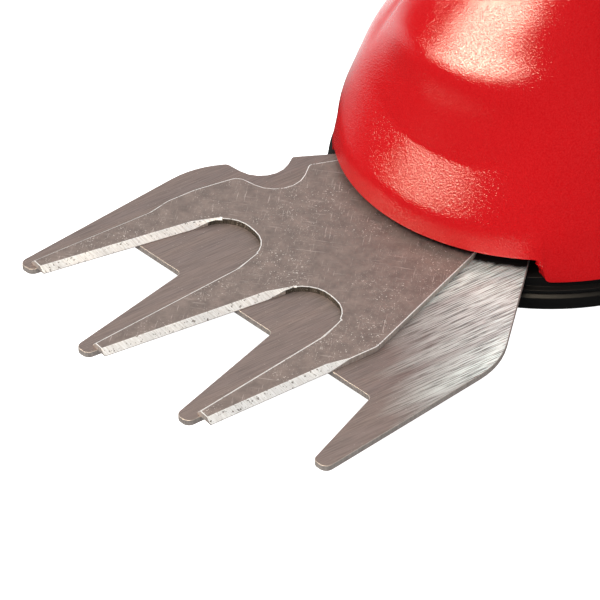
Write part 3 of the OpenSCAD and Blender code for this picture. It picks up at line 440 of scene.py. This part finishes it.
def moulded_plastic(name, light, dark, rough, grain_scale, grain_depth, specular=0.5, fleck=0):
    """Grained plastic: gloss drifts a little, and the grain is a bump.

    With flecks the grain sets the colour and the sheen too; without them the colour drifts.
    """
    material, tree, shader, coords = new_material(name, specular=specular)
    grain = place_group(tree, MOULD_GRAIN, coords, Grain_Scale=grain_scale)
    colour = blend_colour(tree, grain.outputs["Height" if fleck else "Drift"], dark, light)
    tree.links.new(colour, shader.inputs["Base Color"])
    if fleck:
        sheen = ramp(tree, grain.outputs["Height"], 0, 1, to_low=specular - fleck, to_high=specular + fleck)
        tree.links.new(sheen, shader.inputs["Specular IOR Level"])
    tree.links.new(spread(tree, grain.outputs["Drift"], *rough), shader.inputs["Roughness"])
    add_bump(tree, shader, grain.outputs["Height"], grain_depth)
    return material


def metal(name, light, dark, rough, fine_scale, stretch, turn, depth):
    """Ground or drawn metal: strokes shift its colour and gloss and are a shallow bump."""
    material, tree, shader, coords = new_material(name, metallic=1)
    strokes = place_group(
        tree, GRIND_STROKES, coords, Fine_Scale=fine_scale, Stretch=stretch, Turn=math.radians(turn))
    shade = spread(tree, strokes.outputs["Strokes"])
    colour = blend_colour(tree, shade, dark, light)
    tree.links.new(colour, shader.inputs["Base Color"])
    tree.links.new(spread(tree, strokes.outputs["Patches"], *rough), shader.inputs["Roughness"])
    add_bump(tree, shader, strokes.outputs["Strokes"], depth)
    return material


def flat_distance(tree, coords, way):
    """How far a point lies from the blade pivot along a level direction, in metres."""
    node = node_of(tree, "ShaderNodeVectorMath", operation="SUBTRACT")
    tree.links.new(coords, node.inputs[0])
    node.inputs[1].default_value = PIVOT
    along = node_of(tree, "ShaderNodeVectorMath", operation="DOT_PRODUCT")
    tree.links.new(node.outputs["Vector"], along.inputs[0])
    along.inputs[1].default_value = (*way, 0)
    return along.outputs["Value"]


def lip_shadow(tree, coords, colour):
    """Painted shadow: darkens a blade where it runs in under the lip of the hood."""
    node = node_of(tree, "ShaderNodeVectorMath", operation="DISTANCE")
    tree.links.new(coords, node.inputs[0])
    node.inputs[1].default_value = (HOOD_X, 0, PIVOT.z)
    ragged = part_of(tree, noise(tree, coords, scale=900, detail=3), LIP_SHADOW_RAGGED)
    reach = math_node(tree, "SUBTRACT", node.outputs["Value"], ragged)
    clear = ramp(tree, reach, LIP_SHADOW_RADIUS, LIP_SHADOW_RADIUS + LIP_SHADOW_FADE)
    return blend_colour(tree, clear, PAINTED_LIP_SHADOW, colour)


def specks(tree, coords, scale, low, high):
    """Single grains that stand out of a fine noise."""
    return ramp(tree, noise(tree, coords, scale, roughness=0.6), low, high)


def ground_steel():
    """Top of the lower blade: coarse belt strokes, lighter towards the hood as a painted highlight, and a painted
    shadow under the hood's lip.
    """
    material, tree, shader, coords = new_material("ground_steel", metallic=0.45)
    strokes = place_group(
        tree, GRIND_STROKES, coords, Fine_Scale=3600, Stretch=0.028, Turn=math.radians(8))
    shade = ramp(tree, strokes.outputs["Strokes"], low=0.37, high=0.56)
    steel_tone = blend_colour(tree, shade, *STEEL_TONE)
    painted_highlight = blend_colour(tree, shade, *HIGHLIGHT_STEEL)
    # painted highlight: the steel turns to its lit copy towards the hood, with a ragged edge
    place = flat_distance(tree, coords, HIGHLIGHT_WAY)
    drift = part_of(tree, strokes.outputs["Patches"], HIGHLIGHT_DRIFT)
    share = ramp(tree, math_node(tree, "ADD", place, drift), HIGHLIGHT_START, HIGHLIGHT_END)
    colour = blend_colour(tree, share, steel_tone, painted_highlight)
    pale = part_of(tree, specks(tree, coords, scale=2400, low=0.70, high=0.76), share=0.5)
    marked = blend_colour(tree, pale, colour, GROUND_GRAIN)
    # painted shadow: the steel turns near black under the hood's lip
    tree.links.new(lip_shadow(tree, coords, marked), shader.inputs["Base Color"])
    gloss = spread(tree, strokes.outputs["Patches"], to_low=0.42, to_high=0.56)
    tree.links.new(gloss, shader.inputs["Roughness"])
    add_bump(tree, shader, strokes.outputs["Strokes"], distance=0.010 * MM)
    return material


def rolled_steel():
    """Top of the upper blade: an even rolled skin with fine scratches and bright and dark flecks."""
    material, tree, shader, coords = new_material("rolled_steel", metallic=0.4)
    fine = place_group(tree, GRIND_STROKES, coords, Fine_Scale=2600, Stretch=0.06, Turn=math.radians(-38))
    cross = place_group(tree, GRIND_STROKES, coords, Fine_Scale=1900, Stretch=0.05, Turn=math.radians(55))
    mottle = noise(tree, coords, scale=260, detail=5, roughness=0.8)
    base = blend_colour(tree, spread(tree, mottle), *SKIN)
    for strokes, share in ((fine, 0.75), (cross, 0.6)):
        lines = part_of(tree, ramp(tree, strokes.outputs["Strokes"], low=0.62, high=0.72), share)
        base = blend_colour(tree, lines, base, SCRATCH)
    dark = part_of(tree, specks(tree, coords, scale=1500, low=0.68, high=0.74), share=0.5)
    marked = blend_colour(tree, dark, base, DARK_FLECK)
    clusters = ramp(tree, noise(tree, coords, scale=70), low=0.42, high=0.62)
    pale = part_of(tree, specks(tree, coords, scale=2600, low=0.64, high=0.70), clusters)
    flecked = blend_colour(tree, pale, marked, PALE_FLECK)
    # painted shadow: the steel turns near black under the hood's lip
    tree.links.new(lip_shadow(tree, coords, flecked), shader.inputs["Base Color"])
    tree.links.new(spread(tree, mottle, to_low=0.42, to_high=0.54), shader.inputs["Roughness"])
    add_bump(tree, shader, fine.outputs["Strokes"], distance=0.004 * MM)
    return material


def ground_bevel():
    """Bevels and rim of the upper blade: bright, with cross strokes and dark pits left from the blank."""
    material, tree, shader, coords = new_material("ground_bevel", metallic=0.2)
    strokes = place_group(tree, GRIND_STROKES, coords, Fine_Scale=2600, Stretch=0.15, Turn=math.radians(70))
    shade = ramp(tree, strokes.outputs["Strokes"], low=0.34, high=0.62)
    base = blend_colour(tree, shade, *BEVELLED)
    pits = ramp(tree, noise(tree, coords, scale=1300, detail=3, roughness=0.65), low=0.61, high=0.66)
    tree.links.new(blend_colour(tree, pits, base, PIT), shader.inputs["Base Color"])
    gloss = spread(tree, strokes.outputs["Patches"], to_low=0.32, to_high=0.45)
    tree.links.new(gloss, shader.inputs["Roughness"])
    add_bump(tree, shader, strokes.outputs["Strokes"], distance=0.012 * MM)
    return material


def sheared_edge(name, light, dark):
    """Cut edges of a blade: fine upright marks of the punch and a few bright grains."""
    material, tree, shader, coords = new_material(name, metallic=0.4)
    upright = node_of(tree, "ShaderNodeMapping")
    upright.inputs["Scale"].default_value = (1, 1, 0.2)
    tree.links.new(coords, upright.inputs["Vector"])
    marks = noise(tree, upright.outputs["Vector"], scale=2600, detail=3, roughness=0.65)
    base = blend_colour(tree, ramp(tree, marks, low=0.34, high=0.66), dark, light)
    pale = part_of(tree, specks(tree, coords, scale=3000, low=0.66, high=0.72), share=0.6)
    tree.links.new(blend_colour(tree, pale, base, CUT_GRAIN), shader.inputs["Base Color"])
    tree.links.new(spread(tree, marks, to_low=0.42, to_high=0.55), shader.inputs["Roughness"])
    add_bump(tree, shader, marks, distance=0.02 * MM)
    return material


def plain_floor():
    """White to the eye, and duller in reflections in front of the object."""
    material, tree, shader, coords = new_material("pale_floor", roughness=0.9, specular=0.1)
    shader.inputs["Base Color"].default_value = FLOOR_GREY
    shader.inputs["Emission Color"].default_value = (1, 1, 1, 1)
    paths = node_of(tree, "ShaderNodeLightPath")
    glow = part_of(tree, paths.outputs["Is Camera Ray"], FLOOR_GLOW)
    tree.links.new(glow, shader.inputs["Emission Strength"])
    dull = node_of(tree, "ShaderNodeEmission")
    towards = node_of(tree, "ShaderNodeVectorMath", operation="DOT_PRODUCT")
    tree.links.new(coords, towards.inputs[0])
    towards.inputs[1].default_value = FADE_WAY
    shade = ramp(tree, towards.outputs["Value"], FADE_START, FADE_END, FLOOR_BRIGHT, FLOOR_DULL)
    tree.links.new(shade, dull.inputs["Strength"])
    choice = node_of(tree, "ShaderNodeMixShader")
    tree.links.new(paths.outputs["Is Glossy Ray"], choice.inputs[0])
    tree.links.new(shader.outputs[0], choice.inputs[1])
    tree.links.new(dull.outputs[0], choice.inputs[2])
    tree.links.new(choice.outputs[0], tree.nodes["Material Output"].inputs["Surface"])
    return material


RED = moulded_plastic(
    "red_shell", light=(0.71, 0.012, 0.015), dark=(0.59, 0.005, 0.008), rough=(0.06, 0.09),
    grain_scale=2800, grain_depth=0.038 * MM, fleck=0.32)
BLACK = moulded_plastic(
    "black_plastic", light=(0.009, 0.009, 0.0095), dark=(0.005, 0.005, 0.0055), rough=(0.42, 0.52),
    grain_scale=2200, grain_depth=0.008 * MM, specular=0.18)
SOFT = moulded_plastic(
    "soft_grip", light=(0.020, 0.020, 0.021), dark=(0.013, 0.013, 0.014), rough=(0.68, 0.8),
    grain_scale=1500, grain_depth=0.03 * MM)
RUBBER = moulded_plastic(
    "foot_rubber", light=(0.018, 0.018, 0.018), dark=(0.012, 0.012, 0.012), rough=(0.75, 0.85),
    grain_scale=1800, grain_depth=0.03 * MM)
ACETAL = moulded_plastic(
    "gear_plastic", light=(0.72, 0.68, 0.58), dark=(0.66, 0.62, 0.52), rough=(0.4, 0.5),
    grain_scale=2500, grain_depth=0.005 * MM)
BOARD = moulded_plastic(
    "board_green", light=(0.012, 0.09, 0.03), dark=(0.008, 0.06, 0.02), rough=(0.3, 0.4),
    grain_scale=1200, grain_depth=0.003 * MM)
WRAP = moulded_plastic(
    "cell_wrap", light=(0.02, 0.09, 0.33), dark=(0.015, 0.07, 0.28), rough=(0.25, 0.35),
    grain_scale=900, grain_depth=0.003 * MM)
MAGNET = moulded_plastic(
    "magnet", light=(0.05, 0.05, 0.055), dark=(0.03, 0.03, 0.033), rough=(0.5, 0.65),
    grain_scale=1800, grain_depth=0.02 * MM)
ROLLED = rolled_steel()
GROUND = ground_steel()
BEVEL = ground_bevel()
EDGE = sheared_edge("cut_edge", light=(0.50, 0.455, 0.43), dark=(0.34, 0.30, 0.28))
# Gullet walls: a dark copy of the cut edge, painted shade in the narrow gullets
GULLET_SHADE = sheared_edge("shaded_gullet_wall", light=(0.10, 0.088, 0.072), dark=(0.025, 0.022, 0.018))
BRIGHT = metal(
    "bright_steel", light=(0.62, 0.62, 0.63), dark=(0.46, 0.46, 0.47), rough=(0.25, 0.35),
    fine_scale=5000, stretch=0.2, turn=30, depth=0.002 * MM)
SINK = metal(
    "sink_metal", light=(0.60, 0.60, 0.61), dark=(0.5, 0.5, 0.51), rough=(0.35, 0.45),
    fine_scale=5000, stretch=0.1, turn=0, depth=0.002 * MM)
BRONZE = metal(
    "bronze", light=(0.60, 0.40, 0.16), dark=(0.45, 0.29, 0.11), rough=(0.3, 0.4),
    fine_scale=4000, stretch=0.6, turn=20, depth=0.002 * MM)
SLOT_MATERIALS = {
    "red_shell": RED, "black_plastic": BLACK, "soft_grip": SOFT, "foot_rubber": RUBBER,
    "blade_steel": GROUND, "bright_steel": BRIGHT, "bronze": BRONZE, "gear_plastic": ACETAL,
    "magnet": MAGNET, "board_green": BOARD, "sink_metal": SINK, "cell_wrap": WRAP,
}


# Hood
def side_part(angle):
    return ease((abs(angle) - FRONT_ANGLE) / (SIDE_ANGLE - FRONT_ANGLE))


def back_part(angle):
    return ease((abs(angle) - BACK_ANGLE) / (180 - BACK_ANGLE))


def across(row, k, angle):
    return mix(mix(row[k], row[k + 2], side_part(angle)), row[k + 4], back_part(angle))


def rim_height(angle):
    """Lower edge of the hood: high over the blades, down on its seat elsewhere, with a rounded step."""
    past = math.radians(abs(angle)) * HOOD_R - STEP_PLACE
    seat = HOOD_LOW.z - PIVOT.z
    if past < 0:
        return SLOT_TOP - STEP_ROUND + math.sqrt(STEP_ROUND ** 2 - max(0, past + STEP_ROUND) ** 2)
    if past < STEP_WIDTH:
        return mix(SLOT_TOP - STEP_ROUND, seat + STEP_FOOT, past / STEP_WIDTH)
    left = max(0, STEP_FOOT + STEP_WIDTH - past)
    return seat + STEP_FOOT - math.sqrt(STEP_FOOT ** 2 - left ** 2)


def hood_row(row, angle):
    return Vector((across(row, 1, angle) * HOOD_R, across(row, 0, angle) * HOOD_H))


def straight(first, last, steps):
    return [first.lerp(last, k / steps) for k in range(steps)]


def bend(before, corner, after, reach, steps):
    """Rounds a corner of a line, from one reach before it to one reach after it."""
    start = corner + (before - corner).normalized() * reach
    end = corner + (after - corner).normalized() * reach
    return [start.lerp(corner, k / steps).lerp(corner.lerp(end, k / steps), k / steps)
            for k in range(steps + 1)]


def hood_column(angle):
    """Radius and height up one line of the hood: the lip, the flare, and the neck with its groove."""
    groove = GROOVE_DEPTH * math.exp(-((angle - GROOVE_ANGLE) / GROOVE_SPREAD) ** 2)
    rim = Vector((HOOD_R, rim_height(angle)))
    lip = hood_row(LIP_ROW_SHARES, angle)
    crease = hood_row(FLARE_ROW_SHARES, angle)
    neck = [hood_row(row, angle) - Vector((groove * share, 0))
            for row, share in zip(NECK_ROW_SHARES, GROOVE_ROW_SHARES)]
    lip_bend = bend(rim, lip, crease, LIP_ROUND, HOOD_STEPS)
    crease_reach = mix(CREASE_ROUND, CHEEK_ROUND, side_part(angle))
    crease_bend = bend(lip, crease, neck[0], crease_reach, HOOD_STEPS)
    line = straight(rim, lip_bend[0], HOOD_STEPS) + lip_bend
    line += straight(lip_bend[-1], crease_bend[0], HOOD_STEPS)[1:] + crease_bend[:-1]
    return line + spline([crease_bend[-1], *neck], HOOD_STEPS)


def spline(points, steps):
    """Smooth line through points at uneven distances, ends held."""
    out = []
    spans = [(b - a).length for a, b in zip(points, points[1:])]
    slopes = [(b - a) / s for a, b, s in zip(points, points[1:], spans)]
    ways = [slopes[0]]
    for k in range(1, len(points) - 1):
        ways.append((slopes[k - 1] * spans[k] + slopes[k] * spans[k - 1]) / (spans[k - 1] + spans[k]))
    ways.append(slopes[-1])
    for k, span in enumerate(spans):
        for step in range(steps):
            t = step / steps
            out.append(
                points[k] * (1 - ease(t)) + points[k + 1] * ease(t)
                + ways[k] * span * t * (1 - t) ** 2 - ways[k + 1] * span * t * t * (1 - t))
    out.append(points[-1])
    return out


def hood_mesh():
    """Outer skin of the hood, cut off where the body's shells begin."""
    work = bmesh.new()
    rings = []
    for angle in HOOD_ANGLES:
        turn = math.radians(angle)
        ring = [
            work.verts.new((HOOD_X + p.x * math.cos(turn), p.x * math.sin(turn), PIVOT.z + p.y))
            for p in hood_column(angle)]
        rings.append(ring)
    top = work.verts.new((HOOD_X, 0, PIVOT.z + HOOD_H))
    for j, ring in enumerate(rings):
        after = rings[(j + 1) % len(rings)]
        for k in range(len(ring) - 1):
            work.faces.new((ring[k], after[k], after[k + 1], ring[k + 1]))
        work.faces.new((ring[-1], after[-1], top))
    parts = work.verts[:] + work.edges[:] + work.faces[:]
    bmesh.ops.bisect_plane(
        work, geom=parts, plane_co=(PART_X, 0, 0), plane_no=(1, 0, 0), clear_inner=True)
    mesh = bpy.data.meshes.new("hood_cover")
    work.to_mesh(mesh)
    work.free()
    return mesh


def hood_cover():
    obj = new_object("hood_cover", hood_mesh())
    wall = obj.modifiers.new("wall", "SOLIDIFY")
    wall.thickness = HOOD_WALL
    wall.offset = -1
    settle(obj)
    bevel = obj.modifiers.new("edges", "BEVEL")
    bevel.width = HOOD_EDGE
    bevel.segments = 3
    bevel.limit_method = "ANGLE"
    bevel.angle_limit = math.radians(HOOD_EDGE_ANGLE)
    settle(obj)
    soften(obj, HOOD_EDGE_ANGLE)
    finish_piece(obj, "body", "red_shell", RED, "front_hood")


# Blades
def blade_surface(normal, place, gullet_x):
    """Which of the blade's materials a face takes: flat face, cut edge, slope or gullet wall, whose darkness is
    painted shade.
    """
    if abs(normal.z) > FLAT_FACE:
        return ON_FACE
    if normal.z > SLOPED_FACE:
        return ON_SLOPE
    in_gullet = normal.x > FORWARD_FACE and place.x < gullet_x + GULLET_DEPTH
    return ON_GULLET if in_gullet else ON_EDGE


def mark_rim(obj, width):
    """Gives a thin rim of the upper face the bright bevel steel: partly a wider broken edge, partly a painted
    highlight line along it.
    """
    obj.data.attributes.remove(obj.data.attributes["custom_normal"])
    work = bmesh.new()
    work.from_mesh(obj.data)
    top = [face for face in work.faces if face.normal.z > FLAT_FACE]
    rim = bmesh.ops.inset_region(work, faces=top, thickness=width, use_even_offset=True, use_boundary=True)
    for face in rim["faces"]:
        face.material_index = ON_SLOPE
    work.to_mesh(obj.data)
    work.free()
    even_shading(obj)


def blade(node, name, body, face_material, slope_material, rim, gullet_x):
    """A blade with slightly broken edges: worked faces above and below, cut edges and slopes between."""
    obj = rounded_copy(node, name, BLADE_EDGE, angle=BLADE_EDGE_ANGLE)
    obj.data.materials.clear()
    for material in (face_material, EDGE, slope_material, GULLET_SHADE):
        obj.data.materials.append(material)
    for face in obj.data.polygons:
        face.material_index = blade_surface(face.normal, face.center - PIVOT, gullet_x)
    if rim:
        mark_rim(obj, rim)
    finish_piece(obj, body, "blade_steel", None, node)


# Repeated detail
def geometry_tree(name, inputs):
    """A Geometry Nodes tree with named sizes; returns it, its ends and the identifiers of its inputs."""
    tree = bpy.data.node_groups.new(name, "GeometryNodeTree")
    tree.interface.new_socket("Geometry", in_out="INPUT", socket_type="NodeSocketGeometry")
    names = {}
    for label, kind in inputs:
        names[label] = tree.interface.new_socket(label, in_out="INPUT", socket_type=kind).identifier
    tree.interface.new_socket("Geometry", in_out="OUTPUT", socket_type="NodeSocketGeometry")
    return tree, tree.nodes.new("NodeGroupInput"), tree.nodes.new("NodeGroupOutput"), names


def end_tree(tree, end, instances, material):
    """Ends a tree with plain, smooth geometry in its material."""
    real = node_of(tree, "GeometryNodeRealizeInstances")
    smooth = node_of(tree, "GeometryNodeSetShadeSmooth")
    paint = node_of(tree, "GeometryNodeSetMaterial")
    paint.inputs["Material"].default_value = material
    tree.links.new(instances, real.inputs["Geometry"])
    tree.links.new(real.outputs["Geometry"], smooth.inputs["Geometry"])
    tree.links.new(smooth.outputs["Geometry"], paint.inputs["Geometry"])
    tree.links.new(paint.outputs["Geometry"], end.inputs["Geometry"])


def grow(obj, tree, names, **sizes):
    """Runs a tree on an object and keeps the result as plain mesh."""
    modifier = obj.modifiers.new(tree.name, "NODES")
    modifier.node_group = tree
    for label, value in sizes.items():
        modifier[names[label.replace("_", " ")]] = value
    return settle(obj)


def sleeve_dots():
    """Small round studs over the outside of the soft sleeve."""
    tree, start, end, names = geometry_tree(
        "sleeve_dots",
        [("Spacing", "NodeSocketFloat"), ("Radius", "NodeSocketFloat"), ("Reach", "NodeSocketFloat"),
         ("Flatness", "NodeSocketFloat"), ("Seed", "NodeSocketInt")])
    normal = node_of(tree, "GeometryNodeInputNormal").outputs["Normal"]
    lift = node_of(tree, "ShaderNodeVectorMath", operation="SCALE")
    tree.links.new(normal, lift.inputs[0])
    tree.links.new(start.outputs["Radius"], lift.inputs["Scale"])
    above = node_of(tree, "ShaderNodeVectorMath", operation="ADD")
    tree.links.new(node_of(tree, "GeometryNodeInputPosition").outputs["Position"], above.inputs[0])
    tree.links.new(lift.outputs["Vector"], above.inputs[1])
    look = node_of(tree, "GeometryNodeRaycast")
    tree.links.new(start.outputs["Geometry"], look.inputs["Target Geometry"])
    tree.links.new(above.outputs["Vector"], look.inputs["Source Position"])
    tree.links.new(normal, look.inputs["Ray Direction"])
    tree.links.new(start.outputs["Reach"], look.inputs["Ray Length"])
    outside = node_of(tree, "FunctionNodeBooleanMath", operation="NOT")
    tree.links.new(look.outputs["Is Hit"], outside.inputs[0])
    points = node_of(tree, "GeometryNodeDistributePointsOnFaces", distribute_method="POISSON")
    points.inputs["Density Max"].default_value = STUD_DENSITY
    tree.links.new(start.outputs["Geometry"], points.inputs["Mesh"])
    tree.links.new(outside.outputs[0], points.inputs["Selection"])
    tree.links.new(start.outputs["Spacing"], points.inputs["Distance Min"])
    tree.links.new(start.outputs["Seed"], points.inputs["Seed"])
    stud = node_of(tree, "GeometryNodeMeshIcoSphere")
    stud.inputs["Subdivisions"].default_value = 2
    tree.links.new(start.outputs["Radius"], stud.inputs["Radius"])
    scale = node_of(tree, "ShaderNodeCombineXYZ")
    scale.inputs["X"].default_value = 1
    scale.inputs["Y"].default_value = 1
    tree.links.new(start.outputs["Flatness"], scale.inputs["Z"])
    place = node_of(tree, "GeometryNodeInstanceOnPoints")
    tree.links.new(points.outputs["Points"], place.inputs["Points"])
    tree.links.new(stud.outputs["Mesh"], place.inputs["Instance"])
    tree.links.new(points.outputs["Rotation"], place.inputs["Rotation"])
    tree.links.new(scale.outputs["Vector"], place.inputs["Scale"])
    end_tree(tree, end, place.outputs["Instances"], SOFT)
    obj = moulded_copy("grip_sleeve", "sleeve_dots", SLEEVE_VOXEL)
    grow(
        obj, tree, names, Spacing=STUD_SPACING, Radius=STUD_RADIUS, Reach=STUD_REACH,
        Flatness=STUD_FLATNESS, Seed=STUD_SEED)
    finish_piece(obj, "body", "soft_grip", None)


def button_ribs():
    """Upright ribs on the face of the battery's release button, where the thumb pushes."""
    low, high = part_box("battery_button")
    tree, start, end, names = geometry_tree(
        "button_ribs",
        [("Count", "NodeSocketInt"), ("First", "NodeSocketVector"), ("Step", "NodeSocketVector"),
         ("Radius", "NodeSocketFloat"), ("Height", "NodeSocketFloat")])
    line = node_of(tree, "GeometryNodeMeshLine")
    tree.links.new(start.outputs["Count"], line.inputs["Count"])
    tree.links.new(start.outputs["First"], line.inputs["Start Location"])
    tree.links.new(start.outputs["Step"], line.inputs["Offset"])
    rib = node_of(tree, "GeometryNodeMeshCylinder")
    rib.inputs["Vertices"].default_value = 20
    tree.links.new(start.outputs["Radius"], rib.inputs["Radius"])
    tree.links.new(start.outputs["Height"], rib.inputs["Depth"])
    place = node_of(tree, "GeometryNodeInstanceOnPoints")
    tree.links.new(line.outputs["Mesh"], place.inputs["Points"])
    tree.links.new(rib.outputs["Mesh"], place.inputs["Instance"])
    end_tree(tree, end, place.outputs["Instances"], RED)
    step = (high.y - low.y) / (RIB_COUNT + 1)
    obj = new_object("button_ribs", bpy.data.meshes.new("button_ribs"))
    first = (low.x + RIB_PLACE, low.y + step, (low.z + high.z) / 2)
    grow(
        obj, tree, names, Count=RIB_COUNT, First=first, Step=(0, step, 0), Radius=RIB_RADIUS,
        Height=RIB_SHARE * (high.z - low.z))
    finish_piece(obj, "battery_button", "red_shell", None)


# Stage
def stage():
    """The floor and the tent."""
    floor_mesh = bpy.data.meshes.new("floor")
    corners = [(x * FLOOR_HALF, y * FLOOR_HALF, 0) for x, y in ((-1, -1), (1, -1), (1, 1), (-1, 1))]
    floor_mesh.from_pydata(corners, [], [(0, 1, 2, 3)])
    floor = new_object("floor", floor_mesh)
    floor_mesh.materials.append(plain_floor())
    world = bpy.data.worlds.new("studio")
    world.use_nodes = True
    tree = world.node_tree
    way = node_of(tree, "ShaderNodeVectorMath", operation="DOT_PRODUCT")
    tree.links.new(node_of(tree, "ShaderNodeTexCoord").outputs["Generated"], way.inputs[0])
    way.inputs[1].default_value = TENT_WAY
    paths = node_of(tree, "ShaderNodeLightPath")
    tent = ramp(tree, way.outputs["Value"], -TENT_FADE, TENT_FADE, TENT_DIM, TENT_BRIGHT)
    shown = math_node(tree, "MAXIMUM", tent, paths.outputs["Is Camera Ray"])
    matt = math_node(tree, "SUBTRACT", 1, paths.outputs["Is Glossy Ray"])
    sheen = part_of(tree, paths.outputs["Is Glossy Ray"], TENT_SHEEN)
    sky = tree.nodes["Background"]
    sky.inputs["Color"].default_value = TENT_COLOUR
    glow = math_node(tree, "ADD", math_node(tree, "MULTIPLY", shown, matt), sheen)
    tree.links.new(glow, sky.inputs["Strength"])
    bpy.context.scene.world = world
    bpy.context.scene.view_settings.view_transform = "Standard"


def reflected_panel(name, way, size, radiance, colour):
    """An even panel that faces the hood from a direction and shows only as a reflection."""
    aim = Vector((HOOD_X, 0, HOOD_AIM))
    light = bpy.data.lights.new(name, "AREA")
    light.shape = "RECTANGLE"
    light.size, light.size_y = size
    light.color = colour
    light.energy = radiance * math.pi * size[0] * size[1]
    obj = bpy.data.objects.new(name, light)
    obj.location = aim + Vector(way).normalized() * PANEL_DISTANCE
    obj.rotation_mode = "QUATERNION"
    obj.rotation_quaternion = (aim - obj.location).to_track_quat("-Z", "Y")
    obj.visible_diffuse = False
    obj.visible_camera = False
    bpy.context.scene.collection.objects.link(obj)


def lights():
    """An arc of panels that the hood's neck and flare mirror, and a panel each for blades and bevels."""
    eye = (CAMERA_PLACE - CAMERA_AIM).normalized()
    for k, angle in enumerate(NECK_ANGLES):
        turn = math.radians(angle)
        rise = NECK_RISE + NECK_CLIMB * max(0, angle - NECK_CLIMB_START)
        level = math.sqrt(1 - rise ** 2)
        facing = Vector((level * math.cos(turn), level * math.sin(turn), rise))
        reflected_panel(f"neck_panel_{k}", 2 * eye.dot(facing) * facing - eye, **NECK_PANEL)
    reflected_panel("blade_panel", **BLADE_PANEL)
    reflected_panel("edge_panel", **EDGE_PANEL)


def camera():
    data = bpy.data.cameras.new("camera")
    data.lens = CAMERA_LENS
    data.sensor_width = CAMERA_SENSOR
    obj = bpy.data.objects.new("camera", data)
    obj.location = CAMERA_PLACE
    obj.rotation_mode = "QUATERNION"
    obj.rotation_quaternion = (CAMERA_AIM - CAMERA_PLACE).to_track_quat("-Z", "Y")
    bpy.context.scene.collection.objects.link(obj)
    bpy.context.scene.camera = obj


def paint_nodes():
    """Gives every node that still shows the material of its slot."""
    slots = {s["node"]: s["material_slot"] for s in frame["record"]["subparts"]}
    for name, obj in nodes.items():
        if not obj.hide_render:
            obj.data.materials.clear()
            obj.data.materials.append(SLOT_MATERIALS[slots[name]])


camera()
stage()
lights()
hood_cover()
blade("lower_blade", "fixed_blade", "body", GROUND, EDGE, rim=0, gullet_x=-GULLET_X)
blade("upper_blade", "swinging_blade", "upper_blade", ROLLED, BEVEL, rim=BLADE_RIM, gullet_x=GULLET_X)
for node, name in (("left_shell", "body_left"), ("right_shell", "body_right")):
    finish_piece(moulded_copy(node, name, SHELL_VOXEL), "body", "red_shell", RED, node)
soft_sleeve = moulded_copy("grip_sleeve", "soft_sleeve", SLEEVE_VOXEL)
finish_piece(soft_sleeve, "body", "soft_grip", SOFT, "grip_sleeve")
for node, name, body, slot, width in (
    ("base_plate", "base_ring", "body", "black_plastic", 0.25),
    ("rear_foot", "foot_pad", "body", "foot_rubber", 0.8),
    ("trigger", "trigger_lever", "trigger", "black_plastic", 1.2),
    ("lock_button", "lock_pin", "lock_button", "black_plastic", 0.4),
    ("battery_shoe", "rail_shoe", "body", "black_plastic", 0.4),
    ("battery_case", "pack_front", "battery", "black_plastic", 0.8),
    ("battery_back", "pack_back", "battery", "black_plastic", 0.8),
    ("battery_button", "pack_button", "battery_button", "red_shell", 0.6),
):
    finish_piece(rounded_copy(node, name, width * MM), body, slot, SLOT_MATERIALS[slot], node)
sleeve_dots()
button_ribs()
paint_nodes()
